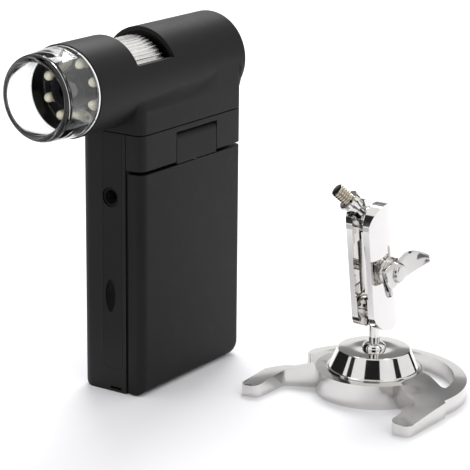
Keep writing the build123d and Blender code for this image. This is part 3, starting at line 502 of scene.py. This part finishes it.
def soften(piece, width, segments, sharp=SHARP):
    """Rounds the sharp edges of a piece a little."""
    bevel = piece.modifiers.new("edge_round", "BEVEL")
    bevel.width = width
    bevel.segments = segments
    bevel.limit_method = "ANGLE"
    bevel.angle_limit = sharp
    bevel.harden_normals = True


def merged_copy(node, edge_round=0.0, segments=2, sharp=SHARP, carve=None):
    """A copy of a CAD node with its corners merged and flat faces joined, carved where that is asked for, shaded
    smooth below the sharp angle, and its sharp edges given a small rounding."""
    mesh = frame["nodes"][node].data.copy()
    mesh.materials.clear()
    work = bmesh.new()
    work.from_mesh(mesh)
    bmesh.ops.remove_doubles(work, verts=work.verts, dist=SAME_CORNER)
    bmesh.ops.dissolve_limit(work, angle_limit=SAME_PLANE, verts=work.verts, edges=work.edges)
    if carve is not None:
        carve(work)
    shade(work, sharp)
    work.to_mesh(mesh)
    work.free()
    if "custom_normal" in mesh.attributes:
        mesh.attributes.remove(mesh.attributes["custom_normal"])
    piece = new_piece(node + "_skin", mesh)
    if edge_round > 0:
        soften(piece, edge_round, segments, sharp)
    return piece


def settle(piece, node, finish):
    """A finished piece stands for its CAD node, moves with that node's body and wears the given finish."""
    piece.data.materials.append(finish)
    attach(piece, frame["nodes"][node]["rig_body"])
    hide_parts(node)


def dress(node, finish, slot, edge_round=0.0, **how):
    """A smooth merged copy of a CAD node in its finish."""
    settle(merged_copy(node, edge_round, **how), node, finish)


def round_heel(work, steps=12):
    """Planes that touch the arc of the rounded lower rear edge cut it off one by one: plane k passes through
    centre + radius * (cos a_k, sin a_k) in depth and height, square to that arm, with a_k going from minus a quarter
    turn to zero."""
    centre = Vector((0.0, HEEL_CENTRE, HEEL_RADIUS)) * MM
    for k in range(steps):
        a = (k + 0.5) / steps * math.pi / 2 - math.pi / 2
        arm = Vector((0.0, math.cos(a), math.sin(a)))
        place = centre + arm * HEEL_RADIUS * MM
        everything = work.verts[:] + work.edges[:] + work.faces[:]
        bmesh.ops.bisect_plane(
            work, geom=everything, dist=SAME_POINT, plane_co=place, plane_no=arm, clear_outer=True)
        bmesh.ops.holes_fill(work, edges=[edge for edge in work.edges if edge.is_boundary], sides=0)


def about_stand(reach, angle):
    """Points on the table about the stand's middle: (x, y) = middle + reach * (cos angle, sin angle)."""
    return np.stack([STAND[0] + reach * np.cos(angle), STAND[1] + reach * np.sin(angle)], -1)


def gap_prism():
    """An upright prism on the table, between the stand's left foot and the free end of its ring. Its outline is an
    arc round the foot of the hub, then the ring's end, and then the gap's far corners."""
    reach, angle = np.array(RING_END).T
    arc = about_stand(HUB_FOOT, np.radians(np.linspace(FOOT_ANGLE, angle[0], 24)))
    outline = np.concatenate([arc, about_stand(reach, np.radians(angle)), GAP_CORNERS])
    count = len(outline)
    below, above = (np.column_stack([outline, np.full(count, height)]) for height in GAP_HEIGHTS)
    index = np.arange(count)
    after = np.roll(index, -1)
    sides = np.stack([index, after, after + count, index + count], -1)
    faces = [index[::-1].tolist(), (index + count).tolist()] + sides.tolist()
    return surface("gap_prism", np.concatenate([below, above]), faces)


def cut_away(piece, prism):
    """Takes the prism's volume out of the piece's mesh, marks the new hard edges and clears the prism away."""
    cut = piece.modifiers.new("cut", "BOOLEAN")
    cut.operation = "DIFFERENCE"
    cut.solver = "EXACT"
    cut.object = prism
    mesh = bpy.data.meshes.new_from_object(piece.evaluated_get(bpy.context.evaluated_depsgraph_get()))
    piece.modifiers.clear()
    piece.data = mesh
    work = bmesh.new()
    work.from_mesh(mesh)
    bmesh.ops.remove_doubles(work, verts=work.verts, dist=SAME_CORNER)
    shade(work, SHARP)
    work.to_mesh(mesh)
    work.free()
    bpy.data.objects.remove(prism)


def closed_sheet(name, front, back):
    """A closed sheet between two equal grids of points in millimetres, with quads across its four edges."""
    rows, columns = front.shape[:2]
    count = rows * columns
    i, j = np.arange(rows - 1)[:, None], np.arange(columns - 1)[None, :]
    corner = i * columns + j
    quads = np.stack([corner, corner + 1, corner + columns + 1, corner + columns], -1).reshape(-1, 4)
    number = np.arange(count).reshape(rows, columns)
    rim = np.concatenate([number[0, :-1], number[:-1, -1], number[-1, :0:-1], number[:0:-1, 0]])
    after = np.roll(rim, -1)
    edge = np.stack([rim, rim + count, after + count, after], -1)
    faces = np.concatenate([quads, quads[:, ::-1] + count, edge])
    points = np.concatenate([front.reshape(-1, 3), back.reshape(-1, 3)])
    return surface(name, points, faces.tolist(), sharp=0.8)


def eased(value):
    """0 below 0, 1 above 1, and 3 v^2 - 2 v^3 between."""
    value = np.clip(value, 0, 1)
    return value ** 2 * (3 - 2 * value)


def saddle_fairing(thick=0.8, proud=0.012):
    """The front of the head, where the flat saddle runs up into the tube. With the tube's depth
    T = axis - sqrt(radius^2 - (z - axis height)^2) and the flat front F = front + c (1 - sqrt(1 - u^2)), u running
    from 0 to 1 round each upright, the depth is the nearer of T and a saddle S, less a fillet w s (1 - s) with
    s = 1/2 + (T - S) / 2 w. S falls back like a rounded shoulder at the lens side and runs flat onto the tube's side
    at the far side, mixed by an eased step in x."""
    edge = BODY_HALF_WIDTH - 0.05
    x, z = np.meshgrid(np.linspace(-edge, edge, 260), np.linspace(SADDLE_FOOT, SADDLE_TOP, 70), indexing="ij")
    past = np.clip(np.abs(x) - BODY_HALF_WIDTH + BODY_CORNER, 0, BODY_CORNER) / BODY_CORNER
    flat = BODY_FRONT + BODY_CORNER * (1 - np.sqrt(1 - past ** 2))
    fallen = flat + SHOULDER_FALL * np.clip(z - SHOULDER_FOOT, 0, SHOULDER_RISE) ** 2
    upright = flat + LEAN * eased((z - 132.0) / 12.0)
    far = eased((x - LENS_SIDE) / 60.0)
    saddle = fallen * (1 - far) + upright * far
    tube = HEAD[1] - np.sqrt(TUBE_RADIUS ** 2 - (z - HEAD[2]) ** 2)
    grown = NARROW_FILLET + FILLET_GROWTH * eased((x - LENS_SIDE) / 36.0)
    fades_up, fades_in = np.clip((SADDLE_TOP - z) / 4, 0, 1), eased((z - SADDLE_FOOT) / 2.5)
    width = 0.01 + grown * np.maximum(eased(past), 1 - far) * fades_up
    share = np.clip(0.5 + 0.5 * (tube - saddle) / width, 0, 1)
    fillet = width * share * (1 - share) * fades_in
    front = np.stack([x, tube * (1 - share) + saddle * share - fillet - proud, z], -1)
    return closed_sheet("saddle_fairing", front, front + (0, thick, 0))


def scoop_lining(thick=0.3, sunk=0.02, half_height=7.8, half_mouth=1.02):
    """A thin near-black sheet of painted shade in the card scoop: the arc of the scoop turned about its upright chord,
    sunk from the face. At height h the arc's radius about the chord is sqrt(R^2 - h^2) - (R - bow), R = (half chord^2
    + bow^2) / 2 bow."""
    bend = (SCOOP_HALF_CHORD ** 2 + SCOOP_BOW ** 2) / (2 * SCOOP_BOW)
    h, v = np.meshgrid(np.linspace(-half_height, half_height, 60), np.linspace(-1, 1, 30), indexing="ij")
    radius = np.sqrt(bend ** 2 - h ** 2) - (bend - SCOOP_BOW)
    angle = v * np.arccos(np.clip(half_mouth / radius, -1, 1))
    front, back = (
        np.stack([SCOOP_CHORD + r * np.cos(angle), SCOOP_DEPTH_CENTRE + r * np.sin(angle), SCOOP_HEIGHT + h], -1)
        for r in (radius - sunk, radius - sunk + thick))
    return closed_sheet("scoop_lining", front, back)


def rounded(corners, loop=False, steps=6):
    """A profile of (along, radius, rounding) corners in millimetres. Each rounded corner becomes an arc that
    touches both its sides: its centre lies on the corner's bisector, at rounding / sin(half the corner's angle)."""
    points = np.array([corner[:2] for corner in corners], float)
    last = len(points) - 1
    pieces = []
    for i, corner in enumerate(corners):
        rounding = corner[2] if len(corner) > 2 else 0.0
        if rounding == 0.0 or (not loop and i in (0, last)):
            pieces.append(points[i:i + 1])
            continue
        before, after = points[i - 1] - points[i], points[(i + 1) % len(points)] - points[i]
        before, after = before / np.linalg.norm(before), after / np.linalg.norm(after)
        half = math.acos(float(np.clip(before @ after, -1, 1))) / 2
        middle = before + after
        centre = points[i] + middle / np.linalg.norm(middle) * rounding / math.sin(half)
        start = points[i] + before * rounding / math.tan(half) - centre
        end = points[i] + after * rounding / math.tan(half) - centre
        sweep = math.pi - 2 * half
        t = np.linspace(0, 1, steps)[:, None]
        pieces.append(centre + (np.sin((1 - t) * sweep) * start + np.sin(t * sweep) * end) / math.sin(sweep))
    return np.concatenate(pieces)


def lathe(name, profile, origin, axis, count=96, relief=None, loop=False, copies=None):
    """A surface of revolution. Point (i, j) = origin + along_i * axis + radius_ij * (cos(a_j) * u + sin(a_j) * v),
    where u and v stand square to the axis and relief(along, radius, a) may change the radius. Copies repeat it at
    offsets."""
    axis = np.array(axis, float) / np.linalg.norm(axis)
    u = np.cross(axis, (0.0, 0.0, 1.0) if abs(axis[2]) < 0.9 else (1.0, 0.0, 0.0))
    u = u / np.linalg.norm(u)
    v = np.cross(axis, u)
    angle = np.arange(count) * 2 * math.pi / count
    along, radius = profile[:, :1], np.repeat(profile[:, 1:], count, axis=1)
    if relief is not None:
        radius = relief(along, radius, angle[None, :])
    ring = np.cos(angle)[:, None] * u + np.sin(angle)[:, None] * v
    points = np.array(origin, float) + along[:, :, None] * axis + radius[:, :, None] * ring[None]
    rows = len(profile)
    i = np.arange(rows if loop else rows - 1)[:, None]
    j = np.arange(count)[None, :]
    here, above = i * count, (i + 1) % rows * count
    beside = (j + 1) % count
    quads = np.stack([here + j, here + beside, above + beside, above + j], -1).reshape(-1, 4)
    offsets = np.zeros((1, 3)) if copies is None else np.array(copies, float)
    whole = (points.reshape(1, -1, 3) + offsets[:, None, :]).reshape(-1, 3)
    faces = (quads[None] + (np.arange(len(offsets)) * rows * count)[:, None, None]).reshape(-1, 4)
    return surface(name, whole, faces.tolist())


def ribs(outer, depth, count, width):
    """Relief of straight ribs: the radius falls by depth between them, by (1 - |cos(count * a / 2)| ** width)."""
    def relief(along, radius, angle):
        share = 1 - np.abs(np.cos(count * angle / 2)) ** width
        return radius - depth * share * (radius > outer - depth)
    return relief


def thread(outer, depth, pitch, start, end, hand=1.0):
    """Relief of a screw thread: a wave along the axis that also advances one pitch in each turn, and runs out at
    both ends: depth * (0.5 - 0.5 * cos(2 pi * along / pitch - a)) ** 2.2, eased to 0 at start and end."""
    def relief(along, radius, angle):
        wave = (0.5 - 0.5 * np.cos(2 * math.pi * along / pitch - hand * angle)) ** 2.2
        ease = np.clip((along - start) / pitch, 0, 1) * np.clip((end - along) / pitch, 0, 1)
        return radius - depth * wave * ease * (np.abs(radius - outer) < 0.01)
    return relief


def wall(start, end, radius, rows):
    """A straight wall of a profile, with enough rows to carry a thread."""
    return np.stack([np.linspace(start, end, rows), np.full(rows, radius)], -1)


def ball_arc(centre, radius, low, high):
    """The arc of a ball in a profile: along = centre + radius * sin(a) and radius * cos(a), for a from low to high."""
    turn = np.linspace(low, high, 48)
    return np.stack([centre + radius * np.sin(turn), radius * np.cos(turn)], -1)


# ---- pieces ----

class MICROSCOPE_OT_housing(bpy.types.Operator):
    """Black plastic housing: shells, head, display and door"""

    bl_idname = "microscope.housing"
    bl_label = "Housing"

    def execute(self, context):
        look = context.scene.microscope_housing
        body = moulded_plastic("housing_plastic", look.body_color, look.roughness, look.grain_size)
        back = moulded_plastic("display_plastic", look.display_color, look.roughness, look.grain_size)
        strip = moulded_plastic(
            "inlay_plastic", look.inlay_color, look.roughness - 0.12, look.grain_size * 1.4, depth=0.00001)
        # The scoop's material is painted shade, near black.
        scoop = moulded_plastic("scoop_painted_shade", look.scoop_shade_color, roughness=0.7, grain=look.grain_size)
        dress("rear_shell", body, "housing", look.edge_round, carve=round_heel)
        for node in ("front_shell", "head_housing", "battery_door"):
            dress(node, body, "housing", look.edge_round)
        settle(saddle_fairing(), "head_housing", body)
        for node in ("display_cover", "hinge_arm"):
            dress(node, back, "housing", look.edge_round)
        dress("side_inlay", strip, "trim", sharp=0.25)
        # Painted shade: a near-black sheet laid in the card scoop, where there is only shade.
        settle(scoop_lining(), "side_inlay", scoop)
        dress("display_frame", strip, "trim", look.edge_round)
        return {"FINISHED"}


class MICROSCOPE_OT_fittings(bpy.types.Operator):
    """Sockets, keys, screws, boards, battery and screen"""

    bl_idname = "microscope.fittings"
    bl_label = "Fittings"

    def execute(self, context):
        look = context.scene.microscope_housing
        metal = context.scene.microscope_metal
        steel = satin_metal("plain_steel", metal.steel_color, roughness=0.32)
        board = circuit_board("green_board", context.scene.microscope_optics.board_color)
        rubber = moulded_plastic("key_rubber", tinted(look.body_color, 2.4), roughness=0.62, grain=look.grain_size)
        black = satin_metal("blackened_steel", metal.blackened_color, roughness=0.34)
        for node in ("usb_socket", "hinge_pin", "twist_pin", "housing_screws"):
            dress(node, steel, "steel", edge_round=0.00008)
        dress("card_socket", black, "steel")
        settle(self.socket(), "tripod_socket", black)
        for node in ("main_board", "sensor_board"):
            dress(node, board, "circuit_board")
        for node in ("key_ok", "key_up", "key_down", "key_right", "key_left", "key_capture"):
            dress(node, rubber, "key", edge_round=0.0003)
        dress("battery", wrap_film("battery_film"), "battery", edge_round=0.0002)
        glass = screen_glass("screen_glass")
        for node in ("screen", "image_sensor"):
            dress(node, glass, "screen", edge_round=0.0001)
        return {"FINISHED"}

    def socket(self):
        """The threaded insert: a closed profile whose inner wall carries the thread."""
        body = [(SOCKET_END, SOCKET_RADIUS), (SOCKET_END, 0.0), (-29.5, 0.0), (-29.5, 4.5), (SOCKET_MOUTH, 4.5)]
        bore = wall(SOCKET_MOUTH, SOCKET_END - 0.2, SOCKET_RADIUS, rows=120)[:-1]
        relief = thread(
            SOCKET_RADIUS, depth=-0.45, pitch=THREAD_PITCH, start=SOCKET_MOUTH + 0.1, end=SOCKET_END, hand=-1.0)
        profile = np.concatenate([body, bore])
        return lathe("tripod_socket_skin", profile, SOCKET, ALONG, count=72, relief=relief, loop=True)


class MICROSCOPE_OT_optics(bpy.types.Operator):
    """Lens end: clear hood, lights, barrel, lens and focus wheel"""

    bl_idname = "microscope.optics"
    bl_label = "Lens end"

    def execute(self, context):
        look = context.scene.microscope_optics
        metal = context.scene.microscope_metal
        barrel = satin_metal("dark_barrel", look.barrel_color, roughness=0.4)
        hood = lathe("hood_skin", rounded(HOOD, loop=True), HEAD, ALONG, count=160, loop=True)
        settle(hood, "hood", clear_plastic("clear_hood", look.clear_color))
        dress("light_board", circuit_board("ring_board", look.barrel_color), "circuit_board")
        settle(self.lights(), "lights", lamp_resin("lamp_resin", look.lamp_color))
        groove = thread(LENS_BORE, depth=0.2, pitch=0.5, start=-63.6, end=-62.4)
        profile = rounded(LENS_BARREL, loop=True)
        tube = lathe("lens_barrel_skin", profile, HEAD, ALONG, count=128, relief=groove, loop=True)
        settle(tube, "lens_barrel", barrel)
        settle(self.front_lens(), "front_lens", coated_glass("coated_glass"))
        dress("optics_sleeve", barrel, "barrel", edge_round=0.0001)
        grip = ribs(WHEEL_RADIUS, depth=1.0, count=WHEEL_RIBS, width=1.1)
        profile, count = rounded(WHEEL, loop=True), WHEEL_RIBS * RIB_POINTS
        wheel = lathe("focus_wheel_skin", profile, HEAD, ALONG, count=count, relief=grip, loop=True)
        settle(wheel, "focus_wheel", polished_metal("wheel_metal", metal.wheel_color, roughness=0.2))
        return {"FINISHED"}

    def lights(self):
        """The ring of lights: light k stands on the circle at the first light's angle + k / count of a turn."""
        turns = FIRST_LIGHT + np.arange(LIGHT_COUNT) * 2 * math.pi / LIGHT_COUNT
        places = np.stack([0 * turns, -LIGHT_CIRCLE * np.cos(turns), LIGHT_CIRCLE * np.sin(turns)], -1)
        return lathe("lights_skin", rounded(LIGHT, steps=9), HEAD, ALONG, count=32, copies=places)

    def front_lens(self):
        """The lens: its dome stands proud by crown * (1 - s^2) at the share s of the edge's radius."""
        share = np.linspace(0, 1, 16)
        dome = np.stack([-61.8 - LENS_CROWN * (1 - share ** 2), LENS_EDGE * share], -1)
        profile = np.concatenate([dome, [(-60.3, LENS_EDGE), (-60.3, 0.0)]])
        return lathe("front_lens_skin", profile, HEAD, ALONG)


class MICROSCOPE_OT_stand(bpy.types.Operator):
    """Polished stand: base, dome, rod, clamp, knob and stud"""

    bl_idname = "microscope.stand"
    bl_label = "Stand"

    def execute(self, context):
        metal = context.scene.microscope_metal
        bright = polished_metal("polished_plating", metal.polished_color, metal.polish)
        dulled = metal.polish + 0.05
        cast = polished_metal("cast_plating", tinted(metal.polished_color, 0.9), dulled, wave=0.000014)
        # The knob takes a darker copy of the polished plating, duller and more wavy.
        darker_plating = polished_metal("knob_plating", tinted(metal.polished_color, 0.78), dulled, wave=0.00003)
        warm = polished_metal("thread_plating", metal.thread_color, metal.polish + 0.04)
        base = merged_copy("base_casting")
        cut_away(base, gap_prism())
        soften(base, width=0.0005, segments=3)
        settle(base, "base_casting", cast)
        dress("clamp_near", bright, "polished", edge_round=0.0009, segments=4)
        dress("clamp_far", bright, "polished", edge_round=0.0004, segments=3)
        dress("wing_knob", darker_plating, "polished", sharp=0.9)
        for node in ("clamp_screw", "clamp_washer", "lock_ring", "rod_nut"):
            dress(node, bright, "polished", edge_round=0.0002)
        dome = lathe("base_dome_skin", rounded(DOME, loop=True), STAND, UPRIGHT, count=160, loop=True)
        settle(dome, "base_dome", bright)
        settle(self.rod(), "ball_rod", bright)
        settle(self.bead(), "rod_bead", bright)
        settle(self.upper_ball(), "ball_stud", bright)
        settle(self.stud(), "threaded_stud", warm)
        return {"FINISHED"}

    def rod(self):
        """The rod, which ends in the lower ball where the ball is as wide as the rod."""
        neck = LOWER_BALL - math.sqrt(LOWER_BALL_RADIUS ** 2 - ROD_RADIUS ** 2)
        low = -math.asin(ROD_RADIUS / LOWER_BALL_RADIUS)
        ball = ball_arc(LOWER_BALL, LOWER_BALL_RADIUS, low, math.pi / 2)
        ball = ball[ball[:, 0] > neck]
        shaft = rounded(((ROD_FOOT, 0.0), (ROD_FOOT, ROD_RADIUS, 0.3), (neck, ROD_RADIUS)))
        return lathe("ball_rod_skin", np.concatenate([shaft, ball]), STAND, UPRIGHT)

    def bead(self):
        """The bead on the rod: (along, radius) = (height + 2.8 sin a, rod + 2.95 cos(a) ** 0.8), for a from 0 to a
        quarter turn."""
        turn = np.linspace(0, math.pi / 2, 20)
        swell = np.stack([BEAD_HEIGHT + 2.8 * np.sin(turn), ROD_RADIUS + 2.95 * np.cos(turn) ** 0.8], -1)
        profile = np.concatenate([swell, [(BEAD_HEIGHT, ROD_RADIUS), (BEAD_HEIGHT, ROD_RADIUS + 2.95)]])
        return lathe("rod_bead_skin", profile, STAND, UPRIGHT)

    def upper_ball(self):
        """The upper ball with its stem and collar."""
        neck = math.sqrt(UPPER_BALL_RADIUS ** 2 - STEM_RADIUS ** 2)
        high = math.pi / 2 - math.asin(STEM_RADIUS / UPPER_BALL_RADIUS)
        ball = ball_arc(0.0, UPPER_BALL_RADIUS, -math.pi / 2, high)
        stem = rounded((
            (neck, STEM_RADIUS), (8.2, STEM_RADIUS, 0.2), (8.2, 3.6, 0.35), (COLLAR_TOP, 3.6, 0.2), (COLLAR_TOP, 0.0)))
        return lathe("ball_stud_skin", np.concatenate([ball, stem[1:]]), UPPER_BALL, STUD)

    def stud(self):
        """The threaded stud, from the thin core under the lock ring to its small end."""
        core = [(COLLAR_TOP, 0.0), (COLLAR_TOP, 2.3), (THREAD_START, 2.3)]
        end = rounded(((THREAD_END, STUD_RADIUS), (THREAD_END + 0.3, STUD_RADIUS - 0.3, 0.1), (THREAD_END + 0.3, 0.0)))
        profile = np.concatenate([core, wall(THREAD_START, THREAD_END, STUD_RADIUS, rows=170), end[1:]])
        relief = thread(STUD_RADIUS, depth=0.62, pitch=THREAD_PITCH, start=THREAD_START, end=THREAD_END + 1.0)
        return lathe("threaded_stud_skin", profile, UPPER_BALL, STUD, count=72, relief=relief)


# ---- stage ----

# Name, place and size in metres, and power as a share of the key lamp's level.
LAMPS = (
    ("key_lamp", (0.84, 0.47, 1.2), (0.7, 0.7), 1.5),
    ("front_lamp", (0.15, -1.25, 1.25), (1.1, 0.8), 0.27),
)

# Cards that lie on the floor: name, heading in degrees from the way the camera looks, distance, width, depth, grey.
FLOOR_CARDS = (
    ("lens_side_card", 110, 0.3, 0.34, 0.42, 0.5),
    ("near_floor_card", -165, 0.3, 0.3, 0.3, 0.16),
    ("rear_floor_card", -14, 0.34, 0.1, 0.3, 0.01),
)

# Cards that stand round the table and face its middle: name, heading, rise in degrees, width, height, grey.
STANDING_CARDS = (
    ("camera_card", 180, 24, 0.62, 0.5, 0.012),
    ("left_card", 52, 12, 0.3, 1.1, 0.006),
    ("right_card", -50, 12, 0.3, 1.1, 0.006),
    ("rear_card", 0, 38, 1.3, 0.6, 0.2),
    ("side_card", -112, 26, 0.22, 0.9, 0.02),
    ("far_side_card", 112, 26, 0.22, 0.9, 0.02),
)
CARD_LIFT = 0.0006  # a floor card's height over the floor, in metres


def facing(place):
    """A matrix that stands something at a place, with its front turned to the origin."""
    return Matrix.Translation(place) @ Vector(place).to_track_quat("Z", "Y").to_matrix().to_4x4()


def flat_panel(name, width, depth):
    """A flat rectangle about the origin."""
    x, y = width / 2, depth / 2
    mesh = bpy.data.meshes.new(name)
    mesh.from_pydata([(-x, -y, 0), (x, -y, 0), (x, y, 0), (-x, y, 0)], [], [(0, 1, 2, 3)])
    return new_piece(name, mesh)


class MICROSCOPE_OT_stage(bpy.types.Operator):
    """Pale floor, room light, lamps and the camera"""

    bl_idname = "microscope.stage"
    bl_label = "Stage"

    def execute(self, context):
        look = context.scene.microscope_stage
        scene = context.scene
        scene.view_settings.view_transform = "Standard"
        self.room(scene, look)
        self.floor(look)
        self.lamps(scene, look)
        self.cards(look)
        self.camera(scene, look)
        return {"FINISHED"}

    def room(self, scene, look):
        """Even room light that shows as white behind the object, through it and in its reflections."""
        world = bpy.data.worlds.new("room")
        scene.world = world
        world.use_nodes = True
        tree = world.node_tree
        background = tree.nodes["Background"]
        background.inputs["Color"].default_value = (1, 1, 1, 1)
        rays = tree.nodes.new("ShaderNodeLightPath")
        shown = rays.outputs["Is Camera Ray"]
        for kind in ("Is Transmission Ray", "Is Glossy Ray"):
            either = tree.nodes.new("ShaderNodeMath")
            either.operation = "MAXIMUM"
            tree.links.new(shown, either.inputs[0])
            tree.links.new(rays.outputs[kind], either.inputs[1])
            shown = either.outputs[0]
        level = tree.nodes.new("ShaderNodeMapRange")
        tree.links.new(shown, level.inputs["Value"])
        level.inputs["To Min"].default_value = look.sky_level
        level.inputs["To Max"].default_value = 1.0
        tree.links.new(level.outputs[0], background.inputs["Strength"])

    def floor(self, look):
        """A wide pale floor that keeps the object's soft shadow."""
        floor = flat_panel("floor", 2 * look.floor_reach, 2 * look.floor_reach)
        finish = Finish("floor_paper", Base_Color=look.floor_color, Roughness=0.9, Specular_IOR_Level=0.1)
        floor.data.materials.append(finish.material)

    def lamps(self, scene, look):
        """A large soft key lamp behind and above, and a weaker one on the camera's side."""
        for name, place, size, share in LAMPS:
            data = bpy.data.lights.new(name, "AREA")
            data.shape = "RECTANGLE"
            data.size, data.size_y = size
            data.energy = look.key_level * share
            lamp = bpy.data.objects.new(name, data)
            scene.collection.objects.link(lamp)
            lamp.matrix_world = facing(place)

    def cards(self, look):
        """Grey and black cards round the table that only reflections see: they give the metal its dark edges."""
        for name, turn, reach, width, depth, shade_of_grey in FLOOR_CARDS:
            heading = math.radians(90 + turn) + look.camera_turn
            place = Vector((math.cos(heading) * reach, math.sin(heading) * reach, CARD_LIFT))
            turned = Matrix.Translation(place) @ Matrix.Rotation(heading - math.pi / 2, 4, "Z")
            self.card(name, turned, width, depth, shade_of_grey)
        for name, turn, rise, width, height, shade_of_grey in STANDING_CARDS:
            heading = math.radians(90 + turn) + look.camera_turn
            lift = math.radians(rise)
            level = math.cos(lift)
            away = Vector((math.cos(heading) * level, math.sin(heading) * level, math.sin(lift)))
            self.card(name, facing(away * look.card_reach), width, height, shade_of_grey)

    def card(self, name, place, width, height, shade_of_grey):
        """One card of paper at a place, seen only by reflections."""
        card = flat_panel(name, width, height)
        card.matrix_world = place
        paper = Finish(name + "_paper", Base_Color=(shade_of_grey,) * 3, Roughness=1.0, Specular_IOR_Level=0.0)
        card.data.materials.append(paper.material)
        card.visible_camera = card.visible_diffuse = card.visible_shadow = card.visible_transmission = False

    def camera(self, scene, look):
        """The photograph's camera: turned about the upright, raised, then rolled."""
        data = bpy.data.cameras.new("camera")
        data.sensor_width = 36.0
        data.lens = look.focal_length
        data.clip_end = 20.0
        camera = bpy.data.objects.new("camera", data)
        scene.collection.objects.link(camera)
        turn, rise = look.camera_turn, look.camera_rise
        back = Vector((math.sin(turn) * math.cos(rise), -math.cos(turn) * math.cos(rise), math.sin(rise)))
        right = Vector((math.cos(turn), math.sin(turn), 0.0))
        up = back.cross(right)
        axes = Matrix((right, up, back)).transposed() @ Matrix.Rotation(look.camera_roll, 3, "Z")
        camera.matrix_world = Matrix.Translation(look.camera_place) @ axes.to_4x4()
        scene.camera = camera


# ---- panel, registration and the run ----

class MICROSCOPE_PT_panel(bpy.types.Panel):
    """Lists the pieces of the microscope"""

    bl_idname = "MICROSCOPE_PT_panel"
    bl_label = "Digital microscope"
    bl_space_type = "VIEW_3D"
    bl_region_type = "UI"
    bl_category = "Microscope"

    def draw(self, context):
        for key, group in SETTINGS.items():
            box = self.layout.box()
            for name in group.__annotations__:
                box.prop(getattr(context.scene, key), name)
        for operator in OPERATORS:
            self.layout.operator(operator.bl_idname)


OPERATORS = (
    MICROSCOPE_OT_housing,
    MICROSCOPE_OT_fittings,
    MICROSCOPE_OT_optics,
    MICROSCOPE_OT_stand,
    MICROSCOPE_OT_stage,
)
CLASSES = (*SETTINGS.values(), *OPERATORS, MICROSCOPE_PT_panel)


def register():
    for item in CLASSES:
        bpy.utils.register_class(item)
    for key, group in SETTINGS.items():
        setattr(bpy.types.Scene, key, PointerProperty(type=group))


def unregister():
    for key in SETTINGS:
        delattr(bpy.types.Scene, key)
    for item in reversed(CLASSES):
        bpy.utils.unregister_class(item)


def main():
    register()
    for name in list(bpy.data.objects.keys()):
        if bpy.data.objects[name].type in {"LIGHT", "CAMERA"}:
            bpy.data.objects.remove(bpy.data.objects[name])
    for operator in OPERATORS:
        group, name = operator.bl_idname.split(".")
        getattr(getattr(bpy.ops, group), name)()


if __name__ == "__main__":
    main()
